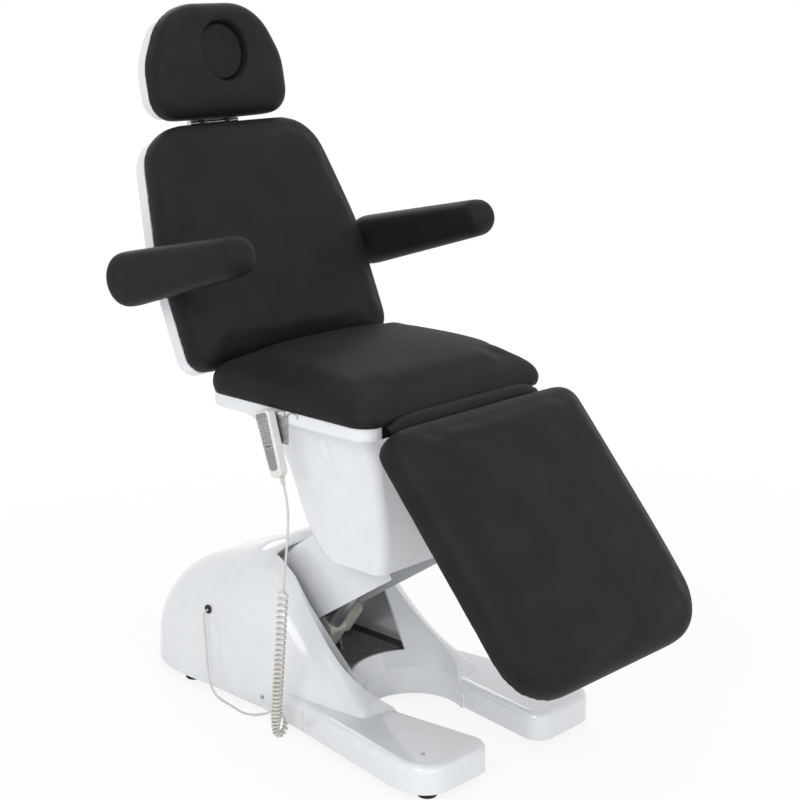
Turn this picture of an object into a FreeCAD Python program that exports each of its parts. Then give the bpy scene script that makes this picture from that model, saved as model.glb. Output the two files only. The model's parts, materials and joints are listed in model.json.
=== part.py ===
import FreeCAD, Part
import math
import os

V = FreeCAD.Vector
ORIGIN = V(0, 0, 0)
AXIS_X = V(1, 0, 0)
AXIS_Y = V(0, 1, 0)
AXIS_Z = V(0, 0, 1)

# Electric massage table: a moulded base, a parallelogram lift arm, a seat, a reclining back with arm rests
# and a head rest, and a leg rest. Millimetres. +X runs to the foot end, +Y to the sitter's left, +Z up, and
# the floor is at Z = 0. The table is drawn raised, with the back up and the leg rest down. All nodes move
# to the middle of the box last.

# General clearances and walls
GAP = 0.3
RUNNING = 0.05
SHELL_WALL = 5.0
TRAY_WALL = 4.0
BOARD = 12.0
PLATE = 8.0

# Base cover: a hump over the mechanism and two legs that flare to the front
BASE_HALF = 226.0
HUMP_REAR = -650.0
HUMP_ROUND = 190.0
HUMP_DRAFT = 0.05
SHOULDER = 150.0
HUMP_FRONT = 215.0
HUMP_CREST = ((-647, 70), (-620, 155), (-560, 234), (-460, 292), (-306, 352), (-205, 384), (-150, 360),
              (-23, 250), (76, 164), (150, 116), (HUMP_FRONT, 58))
SKIRT_Z = 18.0
LEG_TOP = 85.0
LEG_EDGE = 20.0
LEG_ROOT = (-237.0, BASE_HALF - 14.0)
LEG_BEND = (20.0, BASE_HALF + 20.0)
LEG_WIDEST = (385.0, BASE_HALF + 77.0)
LEG_TIP_X = 473.0
LEG_TIP_HALF = BASE_HALF + 62.0
LEG_TIP_ROUND = 70.0
LEG_INNER_ROUND = 42.0
LEG_GAP_TIP = 66.0
NOTCH_X = 155.0
NOTCH_R = 118.0
FUNNEL_SLOPE = 0.75
ARCH_HALF_LOW = 92.0
ARCH_HALF_HIGH = 122.0
ARCH_LOW_Z = 120.0
ARCH_HIGH_Z = 265.0
ARCH_REAR = -188.0

# Floor frame of square tube, with rubber feet
RAIL = 40.0
RAIL_WIDE = 30.0
RAIL_Z = 26.0
RAIL_REAR = -445.0
RAIL_FRONT = 448.0
PAD_PLATE = 6.0
FOOT_R = 22.0
FOOT_FRONT_X = 428.0
FOOT_FRONT_Y = BASE_HALF + 22.0
FOOT_REAR_X = -420.0
STUD_R = 5.0
CROSS_X = (-430.0, -300.0, -50.0)
SCREW_R = 2.5
SCREW_HEAD_R = 5.0
LEG_SCREW_X = 408.0
LEG_SCREW_Y = BASE_HALF + 14.0
SIDE_SCREW_X = -127.0
SIDE_SCREW_Z = 47.0
SEAM_X = 38.0
SEAM_WIDE = 2.5
SEAM_DEEP = 1.5
POST_R = 9.0

# Bent plate that carries the pivot towers and the lift actuator
DECK_REAR = -345.0
DECK_FRONT = -12.0
DECK_HALF = 110.0
DECK_TOP = 92.0
DECK_SHEET = 4.0

# Lift arm: a parallelogram of the arm and the levelling link
ARM_PIVOT = V(-256, 0, 214)
ARM_LENGTH = 510.0
ARM_ANGLE = 33.5
LINK_OFFSET = 60.0
ARM_PLATE_Y = 58.0
ARM_PLATE_HALF = 34.0
HUB_R = 26.0
ARM_SHAFT_R = 15.0
BUSH_WALL = 3.0
LINK_SHAFT_R = 10.0
LINK_HALF = 14.0
LINK_WIDE = 26.0
LINK_EYE_R = 19.0
TOWER_Y = 66.0
TIE_R = 15.0
TIE_AT = (150.0, 400.0)
COVER_HALF = 80.0
COVER_DEPTH = 184.0
COVER_START = 92.0
COVER_END_GAP = 72.0
COVER_ROUND = 18.0

# Lift actuator: pivots on the plate, its rod turns on a pin in the arm
LIFT_BASE = V(-150, 0, 130)
ROD_PIN_AT = 327.0
ROD_PIN_DROP = 20.0
ROD_PIN_R = 8.0
ROD_EYE_SLACK = 4.6
ROD_EYE_WALL = 7.0
ROD_R = 12.0
TUBE_R = 21.0
LIFT_TUBE_END = 196.0
LIFT_HOUSING = 62.0
LIFT_HOUSING_HALF = 27.0
LIFT_MOTOR_R = 24.0
LIFT_MOTOR = (28.0, 98.0)
LIFT_STROKE = 70.0

# Seat
SEAT_WIDTH = 580.0
SEAT_REAR = -226.0
SEAT_FRONT = 300.0
SEAT_BOTTOM = 796.0
SEAT_THICK = 90.0
SEAT_CORNER = 48.0
SEAT_EDGE = 52.0
SEAT_REAR_ROUND = 74.0
SEAT_FRONT_ROUND = 82.0
SEAT_BULGE = 12.0
SEAT_LOW_EDGE = 17.0
PAN_DEEP = 31.0
PAN_FLOOR = 3.0
PAN_FRONT = 286.0
PAN_HOLE = (-88.0, 225.0, 165.0)
FRAME_TUBE = 16.0
FRAME_RAIL_Y = 200.0
FRAME_RAIL_WIDE = 40.0
FRAME_CROSS = (-202.0, -50.0, 132.0, 230.0)
EAR_Y = 192.0
EAR_R = 15.0
PIN_R = 6.0

# Hopper under the seat: each ring's drop below the pan, its rear, and how far it is inside the seat's side
HOPPER_DROPS = (0.0, 38.0, 165.0, 340.0)
HOPPER_REAR = (-200.0, -116.0, -62.0, 43.0)
HOPPER_SIDES = (18.0, 56.0, 100.0, 113.0)
HOPPER_TOP_FRONT = (266.0, 246.0)
HOPPER_ARM_FRONT = (60.0, 46.0)
HOPPER_ROUND = 28.0
HOPPER_SLOT_HALF = 98.0
HOPPER_SLOT_TOP = 604.0
FLUTE_X = 96.0
FLUTE_R = 17.0
FLUTE_DEEP = 13.0
FLUTE_TOP = 724.0
FLUTE_LOW = 585.0

# Back, measured along the panel (u) and towards the sitter (n) from its hinge
BACK_HINGE = V(-254, 0, 796)
BACK_ANGLE = 66.5
BACK_WIDTH = 616.0
BACK_CORNER = 48.0
BACK_LOW_ROUND = 62.0
BACK_START = 27.0
BACK_LENGTH = 584.0
BACK_STRAIGHT = 320.0
BACK_TOP_HALF = 250.0
BACK_TOP_ROUND = 112.0
BACK_THICK = 86.0
BACK_EDGE = 44.0
BACK_SHELL_DEEP = 42.0
BACK_SHELL_INSET = 5.0
TORQUE_R = 12.0
LEVER_REACH = 100.0
LEVER_SLOT_LOW = 90.0
LEVER_SLOT_HIGH = 130.0
LEVER_SLOT_R = 12.5
LEVER_PLATE = 6.0
LEVER_RIM = 10.0
PANEL_RAIL_Y = 145.0
PANEL_RAIL_WIDE = 30.0
PANEL_RAIL_DEEP = 24.0
PANEL_RAIL_FROM = 5.0
BACK_RAIL_TO = 575.0
BACK_CROSS = (120.0, 470.0, 545.0)
LEG_RAIL_TO = 560.0
LEG_CROSS = (120.0, 500.0)

# Back and leg actuators under the seat
SIDE_STEP = 36.0
SMALL_ROD_R = 9.0
SMALL_TUBE_R = 19.0
SMALL_HOUSING = 74.0
SMALL_HOUSING_HALF = 27.0
ROD_HEAD_R = 13.0
ROD_HEAD_WIDE = 18.0
BACK_TUBE = (-92.0, 112.0)
BACK_ROD_INNER = -36.0
LEG_TUBE = (12.0, 204.0)
LEG_ROD_INNER = 64.0

# Leg rest
LEG_HINGE = V(300, 0, 780)
LEG_ANGLE = 48.6
LEG_WIDTH = 610.0
LEG_START = 12.0
LEG_LENGTH = 636.0
LEG_LIFT = 2.0
LEG_THICK = 92.0
LEG_TOP_ROUND = 50.0
LEG_END_ROUND = 118.0
LEG_EDGE_ROUND = 45.0
LEG_TORQUE_R = 11.0
LEG_BOARD_INSET = 22.0

# Head rest, on two posts that slide in the back frame
HEAD_AT = 630.0
HEAD_DROP = 18.0
HEAD_ANGLE = 78.6
HEAD_START = 6.0
HEAD_LENGTH = 272.0
HEAD_HALF = 200.0
HEAD_TOP_HALF = 132.0
HEAD_TOP_ROUND = 129.0
HEAD_LOW_ROUND = 58.0
HEAD_FRONT = 14.0
HEAD_THICK = 80.0
HEAD_EDGE = 42.0
HEAD_SHELL_DEEP = 34.0
POST_ROD_R = 6.0
POST_Y = 60.0
POST_LOW = 440.0
SOCKET_LOW = 470.0
SOCKET_HIGH = 598.0
SOCKET_WALL = 2.5
CROSS_BAR_R = 8.0
HEAD_EAR_Y = 40.0
HEAD_EYE_R = 13.0
HEAD_EAR_LONG = 74.0
HEAD_SHELL_START = 14.0
HEAD_BAR_HALF = 75.0
FACE_HOLE_AT = 160.0
FACE_HOLE_R = 70.0
FACE_LIP = 12.0
FACE_RIM = 14.0
PLUG_GAP = 1.0
PLUG_DROP = 22.0
PLUG_DISH = 6.0

# Arm rests
REST_PIVOT_U = 285.0
REST_PIVOT_N = -22.0
REST_GAP = 40.0
REST_WIDE = 78.0
REST_REAR_R = 63.0
REST_FRONT_R = 45.0
REST_REAR = V(-360, 0, 1051)
REST_FRONT = V(-8, 0, 1142)
REST_EDGE = 26.0
REST_BOSS_R = 22.0
REST_PIN_R = 8.0
REST_STEM_R = 9.0
REST_CORE = 10.0

# Handset, hanging by the near rim of the seat
HANDSET_TOP = V(-9, 0, 793)
HANDSET_ANGLE = 71.5
HANDSET_LONG = 152.0
HANDSET_WIDE = 48.0
HANDSET_FOOT_WIDE = 37.0
HANDSET_THICK = 24.0
HANDSET_STANDOFF = 6.0
HANDSET_EDGE = 5.0
HANDSET_FOOT_ROUND = 15.0
PANEL_LONG = 135.0
PANEL_INSET = 5.0
PANEL_DEEP = 1.5
KEY_TRAVEL = 0.8
KEY_PROUD = 1.6
KEY_LONG = 11.0
KEY_WIDE = 12.0
KEY_PITCH = 17.0
KEY_COLUMN = 8.5
KEY_FIRST = 26.0
KEY_CLEAR = 0.4
GLAND_LONG = 18.0
GLAND_R = 6.0
GLAND_SIDE = 6.0
HOOK_WIDE = 21.0

# Handset cord: a lead from the gland, a curly part that hangs to the floor, and a tail back to the base
GROMMET_X = -330.0
GROMMET_Z = 213.0
GROMMET_R = 9.0
GROMMET_RIM = 2.0
GROMMET_FACE = BASE_HALF - 5.5
CORD_D = 5.5
COIL_D = 27.0
# Cord routes: the second number is how far a point lies inside the side of the base, less than zero outside it
LEAD_ROUTE = ((58.2, -82, 611), (66, -84, 575), (65.5, -85, 535), (58, -86, 462), (47, -86, 388))
COIL_ROUTE = ((47, -86, 388), (8.5, -80.5, 60), (4.5, -80, 27.7), (3, -68.3, 16), (1, -51.7, 16),
              (-2, -40, 27.7), (-9, -38, 41))
TAIL_ROUTE = ((-330, 5.5, 212), (-329.5, -4, 211), (-327, -10, 203), (-321, -14, 184),
              (-315, -15, 150), (-311, -17, 104), (-304, -20, 62), (-293, -22, 32), (-274, -23, 12),
              (-249, -21, 4.5), (-221, -23, 4), (-192, -28, 4), (-161, -34, 6), (-131, -37, 12),
              (-103, -38, 21), (-80, -36.5, 31), (-58, -35.5, 43), (-38, -35, 53), (-20, -36, 53),
              (-9, -38, 41))


def beside(route):
    """A cord's route, with its places measured from the near side of the base."""
    return tuple((x, y - BASE_HALF, z) for x, y, z in route)


def block(x0, x1, y0, y1, z0, z1):
    return Part.makeBox(x1 - x0, y1 - y0, z1 - z0, V(x0, y0, z0))


def rod_x(x0, x1, y, z, radius):
    return Part.makeCylinder(radius, x1 - x0, V(x0, y, z), AXIS_X)


def rod_y(x, z, radius, y0, y1):
    return Part.makeCylinder(radius, y1 - y0, V(x, y0, z), AXIS_Y)


def rod_z(x, y, radius, z0, z1):
    return Part.makeCylinder(radius, z1 - z0, V(x, y, z0), AXIS_Z)


def ring_y(x, z, outer, inner, y0, y1):
    return rod_y(x, z, outer, y0, y1).cut(rod_y(x, z, inner, y0, y1))


def fuse(pieces):
    return pieces[0].multiFuse(pieces[1:]).removeSplitter()


def both_sides(shape):
    """The shape on the near side and its mirror image on the far side."""
    return [shape, shape.mirror(ORIGIN, AXIS_Y)]


def outline(points):
    """A closed flat wire through points (x, y, radius), each corner rounded by its own radius."""
    corners = []
    for i, (x, y, radius) in enumerate(points):
        here = V(x, y, 0)
        back = V(*points[i - 1][:2], 0) - here
        ahead = V(*points[(i + 1) % len(points)][:2], 0) - here
        half_angle = back.getAngle(ahead) / 2
        back.normalize()
        ahead.normalize()
        reach = radius / math.tan(half_angle)
        inward = (back + ahead).normalize()
        middle = here + inward * (radius / math.sin(half_angle) - radius)
        corners.append((here + back * reach, middle, here + ahead * reach, radius))
    edges = []
    for i, (first, middle, last, radius) in enumerate(corners):
        if radius > 0:
            edges.append(Part.Arc(first, middle, last).toShape())
        following = corners[(i + 1) % len(corners)][0]
        if last.distanceToPoint(following) > 1e-6:
            edges.append(Part.LineSegment(last, following).toShape())
    return Part.Wire(edges)


def prism(points, z0, z1):
    shape = Part.Face(outline(points)).extrude(V(0, 0, z1 - z0))
    shape.translate(V(0, 0, z0))
    return shape


def side_plate(points, y0, y1):
    """A plate drawn in side view, as (x, z, radius), that stands between two values of Y."""
    shape = prism(points, 0, y1 - y0)
    shape.rotate(ORIGIN, AXIS_X, 90)
    shape.translate(V(0, y1, 0))
    return shape


def mirrored(points):
    """A half outline, drawn from end to end at positive Y, and its mirror image."""
    return list(points) + [(x, -y, radius) for x, y, radius in reversed(points)]


def rim_edges(shape, z):
    """The edges that lie in one level plane."""
    return [edge for edge in shape.Edges if all(abs(v.Z - z) < 1e-6 for v in edge.Vertexes)
            and abs(edge.BoundBox.ZMin - edge.BoundBox.ZMax) < 1e-6]


def pad(points, z0, z1, top_round, low_round):
    """A padded solid: an outline with its front and rear rims rounded."""
    shape = prism(points, z0, z1)
    shape = shape.makeFillet(top_round, rim_edges(shape, z1))
    return shape.makeFillet(low_round, rim_edges(shape, z0))


def tray(points, inner_points, z0, z1, floor, edge):
    """An open tray with a rounded outer edge on its floor side."""
    outer = prism(points, z0, z1)
    outer = outer.makeFillet(edge, rim_edges(outer, z0))
    return outer.cut(prism(inner_points, z0 + floor, z1 + 1))


def moved(shape, step):
    copy = shape.copy()
    copy.translate(step)
    return copy


def tilt(shape, degrees, pivot):
    """Turns a shape drawn along +X, positive tips its far end down, and puts it at its pivot."""
    copy = shape.copy()
    copy.rotate(ORIGIN, AXIS_Y, degrees)
    copy.translate(pivot)
    return copy


def panel_up(shape, degrees, pivot):
    """Turns a panel drawn along +X so that it leans back over its pivot, at this angle above the floor."""
    copy = shape.copy()
    copy.rotate(ORIGIN, AXIS_Z, 180)
    copy.rotate(ORIGIN, AXIS_Y, degrees)
    copy.translate(pivot)
    return copy


def direction(degrees):
    """Unit vector in the side view, measured up from +X."""
    return V(math.cos(math.radians(degrees)), 0, math.sin(math.radians(degrees)))


# Points of the linkages
ARM_HEAD = ARM_PIVOT + direction(ARM_ANGLE) * ARM_LENGTH
LINK_STEP = direction(ARM_ANGLE + 90) * LINK_OFFSET
LINK_PIVOT = ARM_PIVOT + LINK_STEP
LINK_HEAD = ARM_HEAD + LINK_STEP
ROD_PIN = ARM_PIVOT + direction(ARM_ANGLE) * ROD_PIN_AT - direction(ARM_ANGLE + 90) * ROD_PIN_DROP
LIFT_LINE = ROD_PIN - LIFT_BASE
LIFT_REACH = LIFT_LINE.Length
LIFT_LEAN = math.degrees(math.atan2(LIFT_LINE.z, LIFT_LINE.x))
BACK_UP = V(-math.cos(math.radians(BACK_ANGLE)), 0, math.sin(math.radians(BACK_ANGLE)))
BACK_OUT = V(math.sin(math.radians(BACK_ANGLE)), 0, math.cos(math.radians(BACK_ANGLE)))
HEAD_HINGE = BACK_HINGE + BACK_UP * HEAD_AT - BACK_OUT * HEAD_DROP
REST_PIVOT = BACK_HINGE + BACK_UP * REST_PIVOT_U + BACK_OUT * REST_PIVOT_N
BACK_LEVER_NOW = 270.0 - BACK_ANGLE / 2
LEG_LEVER_NOW = 270.0 - LEG_ANGLE / 2
BACK_ROD_Z = BACK_HINGE.z - LEVER_REACH
LEG_ROD_Z = LEG_HINGE.z - LEVER_REACH
LEVER_HALF = ROD_HEAD_WIDE / 2 + GAP + LEVER_PLATE + GAP
RAIL_OUTER = BASE_HALF - HUMP_DRAFT * (RAIL_Z + RAIL - SKIRT_Z) - SHELL_WALL - 4 * GAP
FOOT_REAR_Y = RAIL_OUTER - FOOT_R - PAD_PLATE / 6
FEET = [(FOOT_FRONT_X, FOOT_FRONT_Y), (FOOT_FRONT_X, -FOOT_FRONT_Y),
        (FOOT_REAR_X, FOOT_REAR_Y), (FOOT_REAR_X, -FOOT_REAR_Y)]


def lever_pin_x(hinge, lever_angle):
    """Where a lever at this angle crosses the level line of its actuator."""
    return hinge.x + LEVER_REACH * math.tan(math.radians(lever_angle - 270))


BACK_PIN_X = lever_pin_x(BACK_HINGE, BACK_LEVER_NOW)
LEG_PIN_X = lever_pin_x(LEG_HINGE, LEG_LEVER_NOW)


# Base

def hump_half(x):
    """Half width of the hump at the skirt: a half ellipse at the rear end, then straight sides."""
    back = min(0.0, x - HUMP_REAR - HUMP_ROUND) / HUMP_ROUND
    return BASE_HALF * math.sqrt(1 - back * back)


def hump_wall(x, z):
    """Half width of the hump's straight side at a height."""
    return hump_half(x) - HUMP_DRAFT * (z - SKIRT_Z)


def hump(inset):
    """The hump as arches across the base, each with straight drafted sides and round shoulders."""
    arches = []
    for i, (x, crest) in enumerate(HUMP_CREST):
        low = SKIRT_Z - inset
        top = crest - inset
        half_low = hump_half(x) - inset
        half_top = hump_wall(x, crest) - inset
        shoulder = min(SHOULDER - inset, 0.85 * half_top, 0.8 * (top - low))
        points = ((-half_low, low, 0), (half_low, low, 0),
                  (half_top, top, shoulder), (-half_top, top, shoulder))
        arch = outline(points)
        place = x + inset if i == 0 else x
        arch.Placement = FreeCAD.Placement(V(place, 0, 0), FreeCAD.Rotation(V(1, 1, 1), 120))
        arches.append(arch)
    return Part.makeLoft(arches, True, False)


def leg_gap(inset):
    """The open space between the legs, in front of the notch."""
    half = mirrored([(NOTCH_X, NOTCH_R + inset, 0), (2 * LEG_TIP_X, 2 * LEG_GAP_TIP - NOTCH_R + inset, 0)])
    return prism(half, -1, LEG_TOP + NOTCH_R)


def leg_side(x):
    """Half width over the straight outer sides of the legs, before and after their bend."""
    x0, half0 = LEG_ROOT if x < LEG_BEND[0] else LEG_BEND
    x1, half1 = LEG_BEND if x < LEG_BEND[0] else LEG_WIDEST
    return half0 + (x - x0) / (x1 - x0) * (half1 - half0)


def legs(inset):
    """Both legs as one slab with a rounded top edge, open between the legs."""
    half = [(LEG_ROOT[0], LEG_ROOT[1] - inset, 0), (LEG_BEND[0], LEG_BEND[1] - inset, 4 * LEG_TIP_ROUND),
            (LEG_WIDEST[0], LEG_WIDEST[1] - inset, 2 * LEG_TIP_ROUND),
            (LEG_TIP_X - inset, LEG_TIP_HALF - inset, LEG_TIP_ROUND)]
    slab = prism(mirrored(half), SKIRT_Z - inset, LEG_TOP - inset)
    slab = slab.cut(leg_gap(inset)).cut(rod_z(NOTCH_X, 0, NOTCH_R + inset, -1, LEG_TOP))
    tips = [edge for edge in slab.Edges if edge.BoundBox.ZLength > LEG_TIP_ROUND / 2
            and edge.BoundBox.XMin > (NOTCH_X + LEG_TIP_X) / 2
            and abs(edge.BoundBox.YMin) < 2 * LEG_GAP_TIP]
    slab = slab.makeFillet(LEG_INNER_ROUND, tips)
    rims = [edge for edge in rim_edges(slab, LEG_TOP - inset) if edge.BoundBox.XMax > NOTCH_X + 1]
    return slab.makeFillet(LEG_EDGE - inset, rims)


def funnel(inset):
    """The bowl over the notch: upright at the legs, then a cone that opens up into the hump."""
    high = HUMP_CREST[5][1] + BASE_HALF
    wide = NOTCH_R + FUNNEL_SLOPE * (high - LEG_TOP)
    profile = [V(0, 0, -1), V(NOTCH_R + inset, 0, -1), V(NOTCH_R + inset, 0, LEG_TOP),
               V(wide + inset, 0, high), V(0, 0, high), V(0, 0, -1)]
    tool = Part.Face(Part.makePolygon(profile)).revolve(ORIGIN, AXIS_Z, 360)
    return moved(tool, V(NOTCH_X, 0, 0))


def arch_slot():
    """The gap in the hump that the lift arm swings through, wider above."""
    high = HUMP_CREST[5][1] + SHOULDER
    points = mirrored([(ARCH_LOW_Z, ARCH_HALF_LOW, 0), (ARCH_HIGH_Z, ARCH_HALF_HIGH, 0),
                       (high, ARCH_HALF_HIGH, 0)])
    slot = prism(points, 0, NOTCH_X - ARCH_REAR)
    slot.Placement = FreeCAD.Placement(V(NOTCH_X, 0, 0), FreeCAD.Rotation(AXIS_Y, -90))
    return slot


def base_cover():
    outer = hump(0).fuse(legs(0)).cut(funnel(0))
    inner = hump(SHELL_WALL).fuse(legs(SHELL_WALL)).cut(funnel(SHELL_WALL + 1))
    cover = outer.cut(inner).cut(arch_slot())
    holes = [rod_y(GROMMET_X, GROMMET_Z, GROMMET_R, -BASE_HALF, -BASE_HALF / 2)]
    for y in (-LEG_SCREW_Y, LEG_SCREW_Y):
        holes.append(rod_z(LEG_SCREW_X, y, SCREW_R + GAP, LEG_TOP - 2 * SHELL_WALL, LEG_TOP + 1))
    holes += both_sides(rod_y(SIDE_SCREW_X, SIDE_SCREW_Z, SCREW_R + GAP, RAIL_OUTER, LEG_TIP_HALF))
    wall = leg_side(SEAM_X)
    holes += both_sides(block(SEAM_X, SEAM_X + SEAM_WIDE, wall - SEAM_DEEP, wall + LEG_EDGE, 0, LEG_TOP))
    for hole in holes:
        cover = cover.cut(hole)
    return cover


def square_tube(x0, x1, y0, y1, z0, z1, wall, axis):
    """A hollow rectangular tube that runs along one axis, "x" or "y"."""
    bar = block(x0, x1, y0, y1, z0, z1)
    if axis == "x":
        return bar.cut(block(x0 - 1, x1 + 1, y0 + wall, y1 - wall, z0 + wall, z1 - wall))
    return bar.cut(block(x0 + wall, x1 - wall, y0 - 1, y1 + 1, z0 + wall, z1 - wall))


def base_frame():
    """Two rails, three cross tubes, foot plates and posts under the leg tops."""
    inner = RAIL_OUTER - RAIL_WIDE
    rail_top = RAIL_Z + RAIL
    pieces = []
    rail = square_tube(RAIL_REAR, RAIL_FRONT, inner, RAIL_OUTER, RAIL_Z, rail_top, DECK_SHEET, "x")
    low = RAIL_Z - PAD_PLATE
    front = fuse([block(LEG_SCREW_X - POST_R, FOOT_FRONT_X, inner, FOOT_FRONT_Y + FOOT_R, low, RAIL_Z),
                  block(FOOT_FRONT_X - 1, FOOT_FRONT_X + FOOT_R, inner, FOOT_FRONT_Y, low, RAIL_Z),
                  rod_z(FOOT_FRONT_X, FOOT_FRONT_Y, FOOT_R, low, RAIL_Z)])
    rear = block(FOOT_REAR_X - FOOT_R, FOOT_REAR_X + FOOT_R,
                 RAIL_OUTER - 2 * FOOT_R, RAIL_OUTER, low, RAIL_Z)
    post = rod_z(LEG_SCREW_X, LEG_SCREW_Y, POST_R, RAIL_Z, LEG_TOP - SHELL_WALL)
    post = post.cut(rod_z(LEG_SCREW_X, LEG_SCREW_Y, SCREW_R + GAP, RAIL_Z + RAIL / 2, LEG_TOP))
    for piece in (rail, front, rear, post):
        pieces += both_sides(piece)
    for x in CROSS_X:
        ends = (x - RAIL / 2, x + RAIL / 2, -inner, inner)
        pieces.append(square_tube(*ends, RAIL_Z, rail_top, DECK_SHEET, "y"))
    frame = fuse(pieces)
    for x, y in FEET:
        frame = frame.cut(rod_z(x, y, STUD_R + GAP, RAIL_Z - PAD_PLATE - 1, RAIL_Z + RAIL / 2))
    for hole in both_sides(rod_y(SIDE_SCREW_X, SIDE_SCREW_Z, SCREW_R + GAP, inner, BASE_HALF)):
        frame = frame.cut(hole)
    return frame


def rubber_feet():
    """Four rubber feet, each with its stud."""
    feet = []
    for x, y in FEET:
        puck = rod_z(x, y, FOOT_R, 0, RAIL_Z - PAD_PLATE)
        puck = puck.makeFillet(FOOT_R / 10, puck.Edges)
        feet.append(puck.fuse(rod_z(x, y, STUD_R, RAIL_Z - PAD_PLATE - 1, RAIL_Z + RAIL / 2 - GAP)))
    return Part.makeCompound(feet)


def cover_screws():
    """Pan-head screws that hold the cover to the posts under the leg tops."""
    screws = []
    for y in (-LEG_SCREW_Y, LEG_SCREW_Y):
        ball = Part.makeSphere(SCREW_HEAD_R, V(LEG_SCREW_X, y, LEG_TOP))
        head = ball.common(rod_z(LEG_SCREW_X, y, RAIL, LEG_TOP, LEG_TOP + SCREW_HEAD_R / 2))
        screws.append(head.fuse(rod_z(LEG_SCREW_X, y, SCREW_R, RAIL_Z + RAIL / 2 + GAP, LEG_TOP)))
    wall = leg_side(SIDE_SCREW_X + SCREW_HEAD_R)
    side = rod_y(SIDE_SCREW_X, SIDE_SCREW_Z, SCREW_HEAD_R, wall, wall + SCREW_R)
    shaft = rod_y(SIDE_SCREW_X, SIDE_SCREW_Z, SCREW_R, RAIL_OUTER - RAIL_WIDE / 2, wall + SCREW_R / 2)
    return Part.makeCompound(screws + both_sides(side.fuse(shaft)))


def actuator_deck():
    """A bent sheet on the cross tubes: a level top with its long sides and front folded down."""
    low = RAIL_Z + RAIL
    deck = block(DECK_REAR, DECK_FRONT, -DECK_HALF, DECK_HALF, low, DECK_TOP)
    inner = DECK_HALF - DECK_SHEET
    top = DECK_TOP - DECK_SHEET
    return deck.cut(block(DECK_REAR - 1, DECK_FRONT - DECK_SHEET, -inner, inner, low - 1, top))


def pivot_towers():
    """Two upright plates that hold the lower shafts, and the ears of the lift actuator."""
    rise = LINK_SHAFT_R + RAIL / 2
    points = [(LINK_PIVOT.x - rise - RAIL / 2, DECK_TOP, 0), (ARM_PIVOT.x + HUB_R + RAIL, DECK_TOP, 0),
              (ARM_PIVOT.x + HUB_R + PLATE, ARM_PIVOT.z + HUB_R, HUB_R),
              (LINK_PIVOT.x + rise, LINK_PIVOT.z + rise, rise / 2),
              (LINK_PIVOT.x - rise, LINK_PIVOT.z + rise, rise / 2)]
    tower = side_plate(points, TOWER_Y, TOWER_Y + PLATE)
    tower = tower.cut(rod_y(ARM_PIVOT.x, ARM_PIVOT.z, ARM_SHAFT_R, 0, DECK_HALF))
    tower = tower.cut(rod_y(LINK_PIVOT.x, LINK_PIVOT.z, LINK_SHAFT_R, 0, DECK_HALF))
    ear_r = ROD_PIN_R + PLATE
    ear = side_plate([(LIFT_BASE.x - 2 * ear_r, DECK_TOP, 0), (LIFT_BASE.x + 2 * ear_r, DECK_TOP, 0),
                      (LIFT_BASE.x + ear_r, LIFT_BASE.z + ear_r, ear_r * 0.9),
                      (LIFT_BASE.x - ear_r, LIFT_BASE.z + ear_r, ear_r * 0.9)],
                     LIFT_HOUSING_HALF + 1, LIFT_HOUSING_HALF + 1 + PLATE)
    ear = ear.cut(rod_y(LIFT_BASE.x, LIFT_BASE.z, ROD_PIN_R, 0, DECK_HALF))
    return Part.makeCompound(both_sides(tower) + both_sides(ear))


def pivot_shaft(point, radius, half):
    """A plain shaft across the machine."""
    return rod_y(point.x, point.z, radius, -half, half)


def control_box():
    """The motor control box, on the rear cross tube."""
    low = RAIL_Z + RAIL
    box = block(CROSS_X[0] - RAIL, DECK_REAR - PLATE, -DECK_HALF, DECK_HALF, low, low + 2 * RAIL)
    return box.makeFillet(PLATE, [edge for edge in box.Edges if edge.BoundBox.ZMax > low + RAIL])


def cord_grommet():
    """A rubber plug in the side of the hump that the handset's cord comes out of."""
    wall = hump_wall(GROMMET_X, GROMMET_Z)
    body = rod_y(GROMMET_X, GROMMET_Z, GROMMET_R - GAP / 3, -GROMMET_FACE, -wall + 2 * SHELL_WALL)
    lip = rod_y(GROMMET_X, GROMMET_Z, GROMMET_R + GROMMET_RIM, -GROMMET_FACE, -GROMMET_FACE + GROMMET_RIM)
    return body.fuse(lip).removeSplitter()


# Lift arm, drawn along +X from its lower pivot and then tilted

def on_arm(shape):
    return tilt(shape, -ARM_ANGLE, ARM_PIVOT)


def lift_arm():
    """Two side plates, two hubs, two cross tubes and the hole for the rod pin."""
    ends = ARM_PLATE_HALF
    points = [(-ends, -ends, ends * 0.99), (ARM_LENGTH + ends, -ends, ends * 0.99),
              (ARM_LENGTH + ends, ends, ends * 0.99), (-ends, ends, ends * 0.99)]
    pieces = both_sides(side_plate(points, ARM_PLATE_Y - PLATE, ARM_PLATE_Y))
    for x in (0, ARM_LENGTH):
        pieces.append(rod_y(x, 0, HUB_R, -ARM_PLATE_Y, ARM_PLATE_Y))
    for x in TIE_AT:
        pieces.append(rod_y(x, 0, TIE_R, -COVER_HALF + TRAY_WALL, COVER_HALF - TRAY_WALL))
    arm = fuse(pieces)
    for x in (0, ARM_LENGTH):
        arm = arm.cut(rod_y(x, 0, ARM_SHAFT_R + BUSH_WALL, -COVER_HALF, COVER_HALF))
    arm = arm.cut(rod_y(ROD_PIN_AT, -ROD_PIN_DROP, ROD_PIN_R, -COVER_HALF, COVER_HALF))
    return on_arm(arm)


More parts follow.
